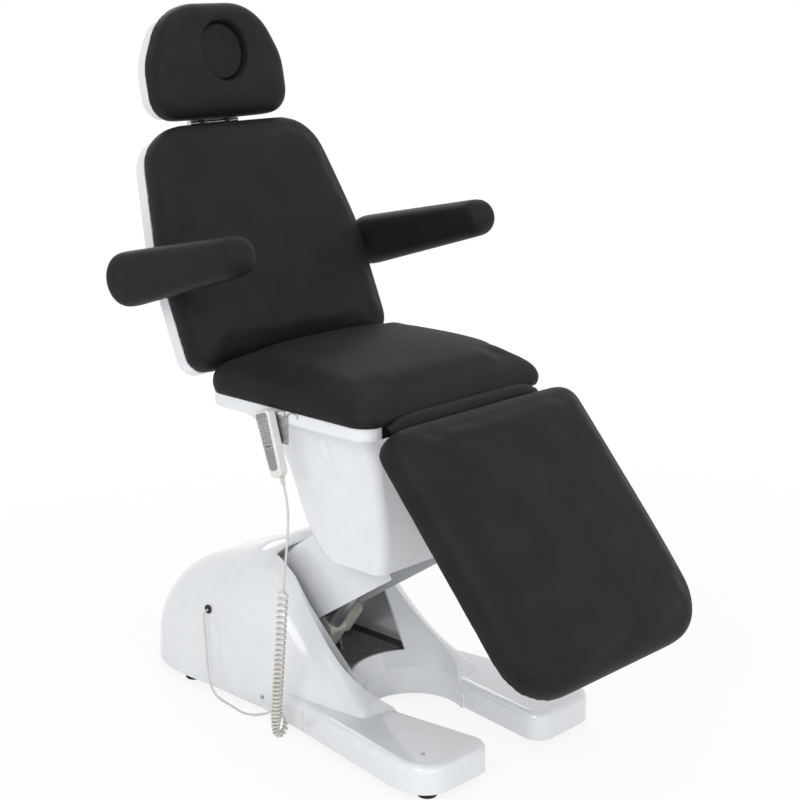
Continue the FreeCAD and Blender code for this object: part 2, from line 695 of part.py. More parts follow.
def arm_bushes():
    """Four flanged bronze bushes, two in each hub."""
    bushes = []
    bore = ARM_SHAFT_R + RUNNING
    for x in (0, ARM_LENGTH):
        sleeve = rod_y(x, 0, ARM_SHAFT_R + BUSH_WALL, ARM_PLATE_Y - 3 * PLATE, ARM_PLATE_Y)
        flange = rod_y(x, 0, HUB_R, ARM_PLATE_Y, TOWER_Y - GAP)
        bushes += both_sides(on_arm(sleeve.fuse(flange).cut(rod_y(x, 0, bore, 0, COVER_HALF))))
    return Part.makeCompound(bushes)


def arm_cover():
    """A moulded channel over the arm: a rounded top and two deep sides, open below and at both ends."""
    high = COVER_DEPTH / 2
    end = ARM_LENGTH - COVER_END_GAP

    def channel(half, top, low, round_edge):
        points = [(-half, low, 0), (half, low, 0), (half, top, round_edge), (-half, top, round_edge)]
        shape = prism(points, 0, end - COVER_START)
        shape.Placement = FreeCAD.Placement(V(COVER_START, 0, 0), FreeCAD.Rotation(V(1, 1, 1), 120))
        return shape

    cover = channel(COVER_HALF, high, -high, COVER_ROUND)
    hollow = channel(COVER_HALF - TRAY_WALL, high - TRAY_WALL, -high - 1, COVER_ROUND - TRAY_WALL)
    return on_arm(cover.cut(hollow))


def level_link():
    """A flat bar with an eye at each end, above the arm and parallel to it."""
    points = [(0, -LINK_HALF, 0), (ARM_LENGTH, -LINK_HALF, 0),
              (ARM_LENGTH, LINK_HALF, 0), (0, LINK_HALF, 0)]
    pieces = [side_plate(points, -LINK_WIDE / 2, LINK_WIDE / 2)]
    for x in (0, ARM_LENGTH):
        pieces.append(rod_y(x, 0, LINK_EYE_R, -LINK_WIDE / 2, LINK_WIDE / 2))
    link = fuse(pieces)
    for x in (0, ARM_LENGTH):
        link = link.cut(rod_y(x, 0, LINK_SHAFT_R + RUNNING, -LINK_WIDE, LINK_WIDE))
    return tilt(link, -ARM_ANGLE, LINK_PIVOT)


def link_shaft(point):
    """A shaft with two collars that keep the link in its middle."""
    near = LINK_WIDE / 2 + GAP
    collar = rod_y(point.x, point.z, LINK_EYE_R - BUSH_WALL, near, near + PLATE)
    return fuse([pivot_shaft(point, LINK_SHAFT_R, TOWER_Y + PLATE)] + both_sides(collar))


def arm_shaft(point):
    return pivot_shaft(point, ARM_SHAFT_R, TOWER_Y + PLATE)


def lower_shafts():
    """The lower shafts of the arm and the link, and the base pin of the lift actuator."""
    base_pin = pivot_shaft(LIFT_BASE, ROD_PIN_R, LIFT_HOUSING_HALF + 1 + PLATE)
    return Part.makeCompound([arm_shaft(ARM_PIVOT), link_shaft(LINK_PIVOT), base_pin])


# Lift actuator, drawn along +X from its base pivot

def on_lift(shape):
    return tilt(shape, -LIFT_LEAN, LIFT_BASE)


def lift_motor():
    """Gear housing with the motor beside it."""
    half = LIFT_HOUSING_HALF
    box = block(-half, LIFT_HOUSING, -half, half, -half, half)
    corners = [edge for edge in box.Edges if edge.BoundBox.XLength < 1 and edge.BoundBox.ZLength < 1]
    box = box.makeFillet(half / 2, corners)
    motor = rod_x(LIFT_MOTOR[0], LIFT_MOTOR[1], half + LIFT_MOTOR_R - PLATE / 2, 0, LIFT_MOTOR_R)
    housing = box.cut(rod_y(0, 0, ROD_PIN_R + RUNNING, -RAIL, RAIL))
    return on_lift(housing.fuse(motor).cut(rod_x(LIFT_HOUSING - PLATE, LIFT_HOUSING + 1, 0, 0, TUBE_R)))


def lift_tube():
    tube = rod_x(LIFT_HOUSING - PLATE, LIFT_TUBE_END, 0, 0, TUBE_R)
    return on_lift(tube.cut(rod_x(LIFT_HOUSING - PLATE / 2, LIFT_TUBE_END + 1, 0, 0, ROD_R + GAP)))


def lift_rod():
    """Rod with an eye whose bore is wide enough for the small error of the linked motion."""
    bore = ROD_PIN_R + ROD_EYE_SLACK
    eye = rod_y(LIFT_REACH, 0, bore + ROD_EYE_WALL, -ROD_R, ROD_R)
    inner_end = LIFT_HOUSING + LIFT_STROKE + PLATE / 2
    rod = rod_x(inner_end, LIFT_REACH - bore, 0, 0, ROD_R)
    return on_lift(rod.fuse(eye).cut(rod_y(LIFT_REACH, 0, bore, -RAIL, RAIL)).removeSplitter())


# Seat

def rounded_box(x0, x1, half, corner):
    return mirrored([(x0, half, corner), (x1, half, corner)])


def seat_cushion():
    """Drawn in side view with a full rear edge, then rounded along both sides."""
    top = SEAT_BOTTOM + SEAT_THICK
    half = SEAT_WIDTH / 2 + SEAT_BULGE
    points = [(SEAT_REAR, SEAT_BOTTOM, 0), (SEAT_FRONT, SEAT_BOTTOM, 0),
              (SEAT_FRONT, top, SEAT_FRONT_ROUND), (SEAT_REAR, top, SEAT_REAR_ROUND)]
    outline = rounded_box(SEAT_REAR, SEAT_FRONT, half, SEAT_EDGE + 1)
    form = pad(outline, SEAT_BOTTOM, top, SEAT_EDGE, SEAT_LOW_EDGE)
    return form.common(side_plate(points, -half, half))


def pan_outline(inset):
    return rounded_box(SEAT_REAR + inset, PAN_FRONT - inset, SEAT_WIDTH / 2 - inset, SEAT_CORNER - inset)


def ear_gaps(width):
    """The places where the hinge ears pass the ends of the pan."""
    low = SEAT_BOTTOM - PAN_DEEP + PAN_FLOOR
    near = EAR_Y - width / 2 + PLATE / 2
    gaps = []
    for x0, x1 in ((BACK_HINGE.x, SEAT_REAR + 3 * TRAY_WALL), (PAN_FRONT - 3 * TRAY_WALL, LEG_HINGE.x)):
        gaps += both_sides(block(x0, x1, near, near + width, low, SEAT_BOTTOM + 1))
    return gaps


def seat_pan():
    """A moulded tray with a hole in its floor over the hopper."""
    low = SEAT_BOTTOM - PAN_DEEP
    pan = tray(pan_outline(0), pan_outline(TRAY_WALL), low, SEAT_BOTTOM, PAN_FLOOR, PLATE)
    x0, x1, half = PAN_HOLE
    pan = pan.cut(prism(rounded_box(x0, x1, half, RAIL / 2), low - 1, SEAT_BOTTOM))
    for gap in ear_gaps(PLATE + 4 * PAN_FLOOR):
        pan = pan.cut(gap)
    near = LEVER_HALF + PAN_FLOOR
    top = SEAT_BOTTOM - BOARD
    pan = pan.cut(block(SEAT_REAR - 1, SEAT_REAR + RAIL, -SIDE_STEP - near, -SIDE_STEP + near, low - 1, top))
    return pan.cut(block(PAN_FRONT - RAIL, PAN_FRONT + 1, SIDE_STEP - near, SIDE_STEP + near, low - 1, top))


def seat_board():
    board = prism(pan_outline(TRAY_WALL + 1), SEAT_BOTTOM - BOARD, SEAT_BOTTOM)
    for gap in ear_gaps(PLATE + 4 * PAN_FLOOR):
        board = board.cut(gap)
    return board


def hinge_ear(hinge, reach, low):
    """A plate from a frame end to a hinge, bored for its pin."""
    inner = min(hinge.x, reach)
    outer = max(hinge.x, reach)
    plate = block(inner, outer, EAR_Y, EAR_Y + PLATE, low, low + FRAME_TUBE)
    eye = rod_y(hinge.x, hinge.z, EAR_R, EAR_Y, EAR_Y + PLATE)
    return plate.fuse(eye).cut(rod_y(hinge.x, hinge.z, PIN_R, 0, SEAT_WIDTH))


def seat_frame():
    """Flat tubes in the pan, hinge ears, and two carrier plates that hang down to the lift arm."""
    low = SEAT_BOTTOM - PAN_DEEP + PAN_FLOOR
    top = SEAT_BOTTOM - BOARD
    x0 = SEAT_REAR + 2 * TRAY_WALL
    x1 = PAN_FRONT - 2 * TRAY_WALL
    wide = FRAME_RAIL_WIDE
    pieces = both_sides(block(x0, x1, FRAME_RAIL_Y - wide / 2, FRAME_RAIL_Y + wide / 2, low, top))
    for x in FRAME_CROSS:
        pieces.append(block(x, x + wide, -FRAME_RAIL_Y, FRAME_RAIL_Y, low, top))
    rise = HUB_R + PLATE
    plate = [(LINK_HEAD.x - rise, top, 0), (LINK_HEAD.x - rise, LINK_HEAD.z - rise, rise / 2),
             (ARM_HEAD.x - rise, ARM_HEAD.z - rise, rise / 2),
             (ARM_HEAD.x + rise, ARM_HEAD.z - rise, rise / 2),
             (ARM_HEAD.x + rise, top, 0)]
    carrier = side_plate(plate, TOWER_Y, TOWER_Y + PLATE)
    pieces += both_sides(carrier)
    frame = fuse(pieces)
    frame = frame.cut(rod_y(ARM_HEAD.x, ARM_HEAD.z, ARM_SHAFT_R, -SEAT_WIDTH, SEAT_WIDTH))
    frame = frame.cut(rod_y(LINK_HEAD.x, LINK_HEAD.z, LINK_SHAFT_R, -SEAT_WIDTH, SEAT_WIDTH))
    ears = both_sides(hinge_ear(BACK_HINGE, x0 + wide, low))
    ears += both_sides(hinge_ear(LEG_HINGE, x1 - wide, low))
    return fuse([frame] + ears)


def hopper_ring(index):
    """Height, rear, front and half width of one ring of the hopper."""
    fronts = HOPPER_TOP_FRONT + tuple(ARM_HEAD.x + ahead for ahead in HOPPER_ARM_FRONT)
    height = SEAT_BOTTOM - PAN_DEEP - HOPPER_DROPS[index]
    return height, HOPPER_REAR[index], fronts[index], SEAT_WIDTH / 2 - HOPPER_SIDES[index]


def hopper_half(z):
    """Half width of the hopper at a height between its second and its last ring."""
    pair = (1, 2) if z > hopper_ring(2)[0] else (2, 3)
    (high, _, _, wide), (low, _, _, narrow) = hopper_ring(pair[0]), hopper_ring(pair[1])
    return narrow + (z - low) / (high - low) * (wide - narrow)


def flutes(inset):
    """A slanted round groove in each side of the hopper, deep at its top and running out below."""
    radius = FLUTE_R + inset
    low = V(FLUTE_X, hopper_half(FLUTE_LOW) + FLUTE_R, FLUTE_LOW)
    top = V(FLUTE_X, hopper_half(FLUTE_TOP) + FLUTE_R - FLUTE_DEEP, FLUTE_TOP)
    line = top - low
    tip = Part.makeSphere(radius, top)
    return both_sides(Part.makeCylinder(radius, line.Length, low, line).fuse(tip))


def hopper_form(inset):
    rings = []
    last = len(HOPPER_DROPS) - 1
    for index in range(last + 1):
        z, x0, x1, half = hopper_ring(index)
        z = z + 1 if inset and index == 0 else z
        z = z - 1 if inset and index == last else z
        ring = outline(rounded_box(x0 + inset, x1 - inset, half - inset, HOPPER_ROUND - inset))
        ring.translate(V(0, 0, z))
        rings.append(ring)
    form = Part.makeLoft(rings, True, False)
    for flute in flutes(inset):
        form = form.cut(flute)
    return form


def hopper_cover():
    """A moulded shell around the carrier, open above and below and at the rear for the lift arm."""
    shell = hopper_form(0).cut(hopper_form(TRAY_WALL))
    rear = HOPPER_REAR[0]
    low = hopper_ring(-1)[0]
    slot = HOPPER_SLOT_HALF
    shell = shell.cut(block(rear, ARM_HEAD.x - RAIL, -slot, slot, low - 1, HOPPER_SLOT_TOP))
    shell = shell.cut(rod_x(rear, 0, -SIDE_STEP, BACK_ROD_Z, SMALL_TUBE_R + PLATE / 2))
    near = LEVER_HALF + PAN_FLOOR
    lever_low = LEG_HINGE.z - LEVER_SLOT_HIGH - LEVER_SLOT_R - 2 * LEVER_RIM
    side = (SIDE_STEP - near, SIDE_STEP + near)
    return shell.cut(block(LEG_TUBE[1], LEG_HINGE.x, *side, lever_low, SEAT_BOTTOM))


def pins(hinge, inner):
    """A pair of hinge pins, from the torque tube's ends out past the ears."""
    return both_sides(rod_y(hinge.x, hinge.z, PIN_R, inner, EAR_Y + PLATE + PAN_FLOOR))


# Back and leg actuators: fixed under the seat, each rod has a cross pin in the slot of a lever

def small_motor(tube, y, z, housing_at_front):
    """Motor housing and outer tube, hung from a cross tube of the seat frame by a block."""
    x0, x1 = tube
    h0, h1 = (x1, x1 + SMALL_HOUSING) if housing_at_front else (x0 - SMALL_HOUSING, x0)
    half = SMALL_HOUSING_HALF
    box = block(h0, h1, y - half, y + half, z - half, z + half)
    box = box.makeFillet(PLATE, [edge for edge in box.Edges if edge.BoundBox.ZMax < z + half - 1])
    top = SEAT_BOTTOM - PAN_DEEP + PAN_FLOOR
    hang = block(h0 + PLATE, h1 - PLATE, y - half / 2, y + half / 2, z + half - 1, top)
    body = fuse([box, hang, rod_x(x0, x1, y, z, SMALL_TUBE_R)])
    bore0, bore1 = (x0 - 1, x1) if housing_at_front else (x0, x1 + 1)
    return body.cut(rod_x(bore0, bore1, y, z, SMALL_ROD_R + GAP))


def small_rod(pin_x, inner_x, y, z):
    """Rod with a flat head and a cross pin through both lever plates."""
    x0, x1 = min(pin_x, inner_x), max(pin_x, inner_x)
    half = ROD_HEAD_WIDE / 2
    head = rod_y(pin_x, z, ROD_HEAD_R, y - half, y + half)
    cross = rod_y(pin_x, z, PIN_R, y - LEVER_HALF, y + LEVER_HALF)
    return fuse([rod_x(x0, x1, y, z, SMALL_ROD_R), head, cross])


def lever(y):
    """A pair of slotted plates, drawn hanging straight down from a hinge at the origin."""
    low = -LEVER_SLOT_HIGH - LEVER_SLOT_R - LEVER_RIM
    wide = LEVER_SLOT_R + LEVER_RIM
    points = [(-wide, low, wide * 0.9), (wide, low, wide * 0.9), (wide, -LEVER_SLOT_LOW, 0),
              (LEG_TORQUE_R, 0, 0), (-LEG_TORQUE_R, 0, 0), (-wide, -LEVER_SLOT_LOW, 0)]
    slot = [(-LEVER_SLOT_R, -LEVER_SLOT_HIGH - LEVER_SLOT_R, LEVER_SLOT_R * 0.99),
            (LEVER_SLOT_R, -LEVER_SLOT_HIGH - LEVER_SLOT_R, LEVER_SLOT_R * 0.99),
            (LEVER_SLOT_R, -LEVER_SLOT_LOW + LEVER_SLOT_R, LEVER_SLOT_R * 0.99),
            (-LEVER_SLOT_R, -LEVER_SLOT_LOW + LEVER_SLOT_R, LEVER_SLOT_R * 0.99)]
    near = ROD_HEAD_WIDE / 2 + GAP
    plates = []
    for y0 in (y - near - LEVER_PLATE, y + near):
        hole = side_plate(slot, y0 - 1, y0 + LEVER_PLATE + 1)
        plates.append(side_plate(points, y0, y0 + LEVER_PLATE).cut(hole))
    return plates


# Panels are drawn flat: X along the panel from its hinge (u), Z towards the sitter (n)

def panel_frame(torque_r, rail_to, rail_high, crosses):
    """A torque tube on the hinge line, two rails behind the board and cross tubes between them."""
    low = rail_high - PANEL_RAIL_DEEP
    wide = PANEL_RAIL_WIDE
    y0 = PANEL_RAIL_Y - wide / 2
    rail = block(PANEL_RAIL_FROM, rail_to, y0, y0 + wide, low, rail_high)
    gusset = block(PANEL_RAIL_FROM, PANEL_RAIL_FROM + torque_r, y0, y0 + wide, low, 0)
    pieces = [rod_y(0, 0, torque_r, -EAR_Y + 2, EAR_Y - 2)] + both_sides(rail) + both_sides(gusset)
    for u in crosses:
        pieces.append(block(u, u + wide, -y0, y0, low, rail_high))
    frame = fuse(pieces)
    for bore in both_sides(rod_y(0, 0, PIN_R + RUNNING, y0, EAR_Y)):
        frame = frame.cut(bore)
    return frame


# Back

def on_back(shape):
    return panel_up(shape, BACK_ANGLE, BACK_HINGE)


def back_outline(inset):
    """Straight sides below, then a taper to a round-cornered top."""
    start = BACK_START + inset
    end = BACK_START + BACK_LENGTH - inset
    half = BACK_WIDTH / 2 - inset
    return mirrored([(start, half, BACK_CORNER - inset), (BACK_STRAIGHT, half, 2 * BACK_STRAIGHT / 3),
                     (end, BACK_TOP_HALF - inset, BACK_TOP_ROUND - inset)])


def back_cushion():
    """Padded front with a rounder lower edge, where it meets the seat."""
    form = pad(back_outline(0), 0, BACK_THICK, BACK_EDGE, BACK_EDGE / 4)
    end = BACK_START + BACK_LENGTH
    points = [(BACK_START, 0, 0), (end, 0, 0), (end, BACK_THICK, 0),
              (BACK_START, BACK_THICK, BACK_LOW_ROUND)]
    side = side_plate(points, -SEAT_WIDTH, SEAT_WIDTH)
    return on_back(form.common(side))


def sockets(radius):
    return both_sides(rod_x(SOCKET_LOW, SOCKET_HIGH, POST_Y, -HEAD_DROP, radius))


def back_rails(clear):
    """Room for the rails where they pass the lower wall of the shell."""
    half = PANEL_RAIL_WIDE / 2 + clear
    return both_sides(block(0, BACK_START + 6 * TRAY_WALL, PANEL_RAIL_Y - half, PANEL_RAIL_Y + half,
                            -BACK_SHELL_DEEP - 1, -BOARD - 2 + clear))


def back_shell():
    inset = BACK_SHELL_INSET
    wall = TRAY_WALL
    shell = tray(back_outline(inset), back_outline(inset + wall), -BACK_SHELL_DEEP, 0, wall, 4 * wall)
    posts = both_sides(rod_x(SOCKET_HIGH, HEAD_AT, POST_Y, -HEAD_DROP, POST_ROD_R + 1))
    stems = [rod_y(REST_PIVOT_U, REST_PIVOT_N, REST_STEM_R + GAP, -SEAT_WIDTH, SEAT_WIDTH)]
    for hole in posts + stems + back_rails(1):
        shell = shell.cut(hole)
    return on_back(shell)


def back_board():
    board = prism(back_outline(BACK_SHELL_INSET + TRAY_WALL + 1), -BOARD, 0)
    for groove in sockets(POST_ROD_R + SOCKET_WALL + GAP) + both_sides(
            rod_x(SOCKET_HIGH - 1, HEAD_AT, POST_Y, -HEAD_DROP, POST_ROD_R + 1)):
        board = board.cut(groove)
    return on_back(board)


def back_frame():
    frame = panel_frame(TORQUE_R, BACK_RAIL_TO, -BOARD - 2, BACK_CROSS)
    frame = fuse([frame] + sockets(POST_ROD_R + SOCKET_WALL))
    for bore in both_sides(rod_x(POST_LOW - PLATE, HEAD_AT, POST_Y, -HEAD_DROP, POST_ROD_R + RUNNING)):
        frame = frame.cut(bore)
    plates = [tilt(plate, 270 - BACK_LEVER_NOW, BACK_HINGE) for plate in lever(-SIDE_STEP)]
    return fuse([on_back(frame)] + plates)


# Arm rests

def hull_plate(rear, rear_r, front, front_r, y0, y1):
    """A plate around two circles of a side view and the straight lines that touch both."""
    line = front - rear
    lean = math.degrees(math.atan2(line.z, line.x))
    spread = math.degrees(math.acos((rear_r - front_r) / line.Length))
    arcs = []
    for centre, radius, angles in ((rear, rear_r, (lean + spread, lean + 180, lean + 360 - spread)),
                                   (front, front_r, (lean - spread, lean, lean + spread))):
        arcs.append([V(centre.x, y0, centre.z) + direction(angle) * radius for angle in angles])
    edges = [Part.Arc(*arcs[0]).toShape(), Part.LineSegment(arcs[0][2], arcs[1][0]).toShape(),
             Part.Arc(*arcs[1]).toShape(), Part.LineSegment(arcs[1][2], arcs[0][0]).toShape()]
    return Part.Face(Part.Wire(edges)).extrude(V(0, y1 - y0, 0))


def rest_core(bore):
    """Steel core inside a pad: a flat bar with a hub on the pivot pin."""
    y0 = BACK_WIDTH / 2 + REST_GAP
    middle = y0 + REST_WIDE / 2
    sides = (middle - REST_CORE / 2, middle + REST_CORE / 2)
    bar = hull_plate(REST_PIVOT, REST_REAR_R / 2, REST_FRONT, REST_FRONT_R / 3, *sides)
    hub = rod_y(REST_PIVOT.x, REST_PIVOT.z, 2 * REST_PIN_R, y0, middle + REST_CORE)
    core = bar.fuse(hub)
    hole = rod_y(REST_PIVOT.x, REST_PIVOT.z, REST_PIN_R + RUNNING, y0 - 1, middle)
    return core.cut(hole) if bore else core


def rest_pad():
    y0 = BACK_WIDTH / 2 + REST_GAP
    form = hull_plate(REST_REAR, REST_REAR_R, REST_FRONT, REST_FRONT_R, y0, y0 + REST_WIDE)
    rims = [edge for edge in form.Edges if edge.BoundBox.YLength < 1]
    return form.makeFillet(REST_EDGE, rims).cut(rest_core(False))


def rest_boss():
    """A boss outside the shell, with a stem in to the frame rail and the pivot pin."""
    y0 = BACK_WIDTH / 2 + REST_GAP
    outer = BACK_WIDTH / 2 - BACK_SHELL_INSET + GAP
    x, z = REST_PIVOT.x, REST_PIVOT.z
    pin_end = y0 + REST_WIDE / 2 - GAP
    return fuse([rod_y(x, z, REST_STEM_R, PANEL_RAIL_Y + PANEL_RAIL_WIDE / 2, outer + 1),
                 rod_y(x, z, REST_BOSS_R, outer, y0 - GAP), rod_y(x, z, REST_PIN_R, outer, pin_end)])


# Head rest

def on_head(shape):
    return panel_up(shape, HEAD_ANGLE, HEAD_HINGE)


def head_outline(start, inset):
    end = HEAD_START + HEAD_LENGTH - inset
    return mirrored([(start + inset, HEAD_HALF - inset, HEAD_LOW_ROUND - inset),
                     (HEAD_START + HEAD_LENGTH / 2, HEAD_HALF - inset, HEAD_LENGTH / 2),
                     (end, HEAD_TOP_HALF - inset, HEAD_TOP_ROUND - inset)])


def head_cushion():
    form = pad(head_outline(HEAD_START, 0), HEAD_FRONT, HEAD_FRONT + HEAD_THICK, HEAD_EDGE, HEAD_EDGE / 4)
    form = form.cut(rod_z(FACE_HOLE_AT, 0, FACE_HOLE_R, 0, 2 * HEAD_THICK))
    top = HEAD_FRONT + HEAD_THICK
    rims = [edge for edge in rim_edges(form, top) if edge.BoundBox.YMax < FACE_HOLE_R + 1]
    return on_head(form.makeFillet(FACE_RIM, rims))


def face_plug():
    """A round cushion that fills the face hole, with a hollow in its front."""
    radius = FACE_HOLE_R - PLUG_GAP
    top = HEAD_FRONT + HEAD_THICK - PLUG_DROP
    plug = rod_z(FACE_HOLE_AT, 0, radius, HEAD_FRONT, top)
    plug = plug.makeFillet(FACE_RIM / 2, rim_edges(plug, top))
    ball = radius * radius / (2 * PLUG_DISH)
    return on_head(plug.cut(Part.makeSphere(ball, V(FACE_HOLE_AT, 0, top - PLUG_DISH + ball))))


def head_ears(clear):
    """Two ears on the cross bar, with feet behind the head board."""
    ears = []
    y0 = HEAD_EAR_Y - PLATE / 2 - clear
    plate = block(0, HEAD_EAR_LONG + clear, y0, y0 + PLATE + 2 * clear, -PLATE - clear, HEAD_FRONT - BOARD)
    for y_sign in (-1, 1):
        ear = plate.fuse(rod_y(0, 0, HEAD_EYE_R + clear, y0, y0 + PLATE + 2 * clear))
        ears.append(ear if y_sign > 0 else ear.mirror(ORIGIN, AXIS_Y))
    return ears


def head_frame():
    """The ears and a plate across them under the board."""
    top = HEAD_FRONT - BOARD
    plate = block(HEAD_EAR_LONG / 3, HEAD_EAR_LONG, -2 * HEAD_EAR_Y, 2 * HEAD_EAR_Y, top - TRAY_WALL, top)
    frame = fuse(head_ears(0) + [plate])
    return on_head(frame.cut(rod_y(0, 0, CROSS_BAR_R + RUNNING, -HEAD_HALF, HEAD_HALF)))


def head_shell():
    inset = BACK_SHELL_INSET
    start = HEAD_SHELL_START - inset
    shell = tray(head_outline(start, inset), head_outline(start, inset + TRAY_WALL),
                 HEAD_FRONT - HEAD_SHELL_DEEP, HEAD_FRONT, TRAY_WALL, 3 * TRAY_WALL)
    for ear in head_ears(1):
        shell = shell.cut(ear)
    return on_head(shell.cut(rod_z(FACE_HOLE_AT, 0, FACE_HOLE_R - FACE_LIP, -HEAD_THICK, HEAD_THICK)))


def head_board():
    start = HEAD_SHELL_START - BACK_SHELL_INSET
    board = prism(head_outline(start, BACK_SHELL_INSET + TRAY_WALL + 1), HEAD_FRONT - BOARD, HEAD_FRONT)
    return on_head(board.cut(rod_z(FACE_HOLE_AT, 0, FACE_HOLE_R - FACE_LIP, 0, HEAD_THICK)))


def head_bracket():
    """Two posts that slide in the back frame, and the cross bar the head turns on."""
    posts = both_sides(rod_x(POST_LOW, HEAD_AT, POST_Y, -HEAD_DROP, POST_ROD_R))
    bar = rod_y(HEAD_AT, -HEAD_DROP, CROSS_BAR_R, -HEAD_BAR_HALF, HEAD_BAR_HALF)
    return on_back(fuse(posts + [bar]))


# Leg rest

def on_leg(shape):
    return tilt(shape, LEG_ANGLE, LEG_HINGE)


def leg_outline(inset):
    end = LEG_START + LEG_LENGTH - inset
    half = LEG_WIDTH / 2 - inset
    return mirrored([(LEG_START + inset, half, LEG_TOP_ROUND - inset), (end, half, LEG_END_ROUND - inset)])


def leg_cushion():
    return on_leg(pad(leg_outline(0), LEG_LIFT, LEG_LIFT + LEG_THICK, LEG_EDGE_ROUND, LEG_EDGE_ROUND / 4))


def leg_board():
    return on_leg(prism(leg_outline(LEG_BOARD_INSET), LEG_LIFT - BOARD, LEG_LIFT))


def leg_frame():
    frame = panel_frame(LEG_TORQUE_R, LEG_RAIL_TO, LEG_LIFT - BOARD, LEG_CROSS)
    plates = [tilt(plate, 270 - LEG_LEVER_NOW, LEG_HINGE) for plate in lever(SIDE_STEP)]
    return fuse([on_leg(frame)] + plates)


# Handset, drawn along +X from its top end, with its front towards -Y

HANDSET_BACK = -SEAT_WIDTH / 2 - HANDSET_STANDOFF
HANDSET_FACE = HANDSET_BACK - HANDSET_THICK
HANDSET_MIDDLE = (HANDSET_BACK + HANDSET_FACE) / 2
KEYS = [(KEY_FIRST + row * KEY_PITCH, side * KEY_COLUMN) for row in range(3) for side in (-1, 1)]


def on_handset(shape):
    return tilt(shape, HANDSET_ANGLE, HANDSET_TOP)


def key_block(place, clear, y0, y1):
    u, w = place
    long = KEY_LONG / 2 + clear
    wide = KEY_WIDE / 2 + clear
    corner = 2 + clear
    return side_plate([(u - long, w - wide, corner), (u + long, w - wide, corner),
                       (u + long, w + wide, corner), (u - long, w + wide, corner)], y0, y1)


def key(place):
    return on_handset(key_block(place, 0, HANDSET_FACE - KEY_PROUD, HANDSET_FACE + 2 * PANEL_DEEP))


def key_wells():
    floor = HANDSET_FACE + 2 * PANEL_DEEP + 2 * KEY_TRAVEL
    return [key_block(place, KEY_CLEAR, HANDSET_FACE - 1, floor) for place in KEYS]


def handset_form(start, long, inset, y0, y1):
    """The handset's outline from its top, drawn in by an inset: round corners, rounder at the foot."""
    top = HANDSET_WIDE / 2 - inset
    foot = HANDSET_FOOT_WIDE / 2 - inset
    corner = 2 * HANDSET_EDGE - inset / 2
    low_corner = HANDSET_FOOT_ROUND - inset
    return side_plate([(start, -top, corner), (long, -foot, low_corner), (long, foot, low_corner),
                       (start, top, corner)], y0, y1)


def handset_panel_form():
    return handset_form(PANEL_INSET, PANEL_LONG, PANEL_INSET, HANDSET_FACE, HANDSET_FACE + PANEL_DEEP)


def handset_shell():
    form = handset_form(0, HANDSET_LONG, 0, HANDSET_FACE, HANDSET_BACK)
    rims = [edge for edge in form.Edges if edge.BoundBox.YLength < 1]
    form = form.makeFillet(HANDSET_EDGE, rims)
    for hollow in [handset_panel_form()] + key_wells():
        form = form.cut(hollow)
    return on_handset(form)


def handset_panel():
    panel = handset_panel_form()
    for well in key_wells():
        panel = panel.cut(well)
    return on_handset(panel)


def handset_gland():
    """Ribbed cord guard at the foot of the handset."""
    step = GLAND_LONG / 6
    pieces = [rod_x(HANDSET_LONG, HANDSET_LONG + GLAND_LONG, HANDSET_MIDDLE, GLAND_SIDE, GLAND_R - 1.5)]
    for i in range(3):
        u = HANDSET_LONG + 2 * i * step
        pieces.append(rod_x(u, u + step, HANDSET_MIDDLE, GLAND_SIDE, GLAND_R - i * 0.4))
    return on_handset(fuse(pieces))


def handset_hook():
    """A bent strip on the rim of the seat pan that the handset hangs on."""
    rim = -SEAT_WIDTH / 2
    stud = HANDSET_TOP + direction(-HANDSET_ANGLE) * (HANDSET_LONG * 0.35)
    ends = (stud.x - HOOK_WIDE / 2, stud.x + 2 * HOOK_WIDE)
    strip = block(*ends, rim - PAN_FLOOR, rim, stud.z - HOOK_WIDE, SEAT_BOTTOM - BOARD)
    return strip.fuse(rod_y(stud.x, stud.z, HOOK_WIDE / 3, HANDSET_BACK, rim - PAN_FLOOR + 1))


# Handset cord

def cord_tube(points, diameter, name):
    """A round cord along straight runs with tangent arcs between them."""
    knots = [V(*point) for point in points]
    edges = []
    radii = []
    start = knots[0]
    for before, here, after in zip(knots, knots[1:], knots[2:]):
        back = before - here
        ahead = after - here
        turn = math.pi - back.getAngle(ahead)
        reach = 0.45 * min(back.Length, ahead.Length)
        radii.append(reach / math.tan(turn / 2))
        back.normalize()
        ahead.normalize()
        inward = (back + ahead).normalize()
        half_angle = (math.pi - turn) / 2
        middle = here + inward * (radii[-1] / math.sin(half_angle) - radii[-1])
        first = here + back * reach
        last = here + ahead * reach
        edges.append(Part.LineSegment(start, first).toShape())
        edges.append(Part.Arc(first, middle, last).toShape())
        start = last
    edges.append(Part.LineSegment(start, knots[-1]).toShape())
    path = Part.Wire(edges)
    ring = Part.Wire(Part.makeCircle(diameter / 2, knots[0], knots[1] - knots[0]))
    tube = path.makePipeShell([ring], True, False)
    share = tube.Volume / (math.pi * diameter * diameter / 4 * path.Length)
    print(name, "length", round(path.Length), "least radius", round(min(radii), 1), "share", round(share, 3))
    return tube


LEAD_START = (HANDSET_TOP + direction(-HANDSET_ANGLE) * (HANDSET_LONG + GLAND_LONG + GAP)
              + direction(90 - HANDSET_ANGLE) * GLAND_SIDE + V(0, HANDSET_MIDDLE, 0))


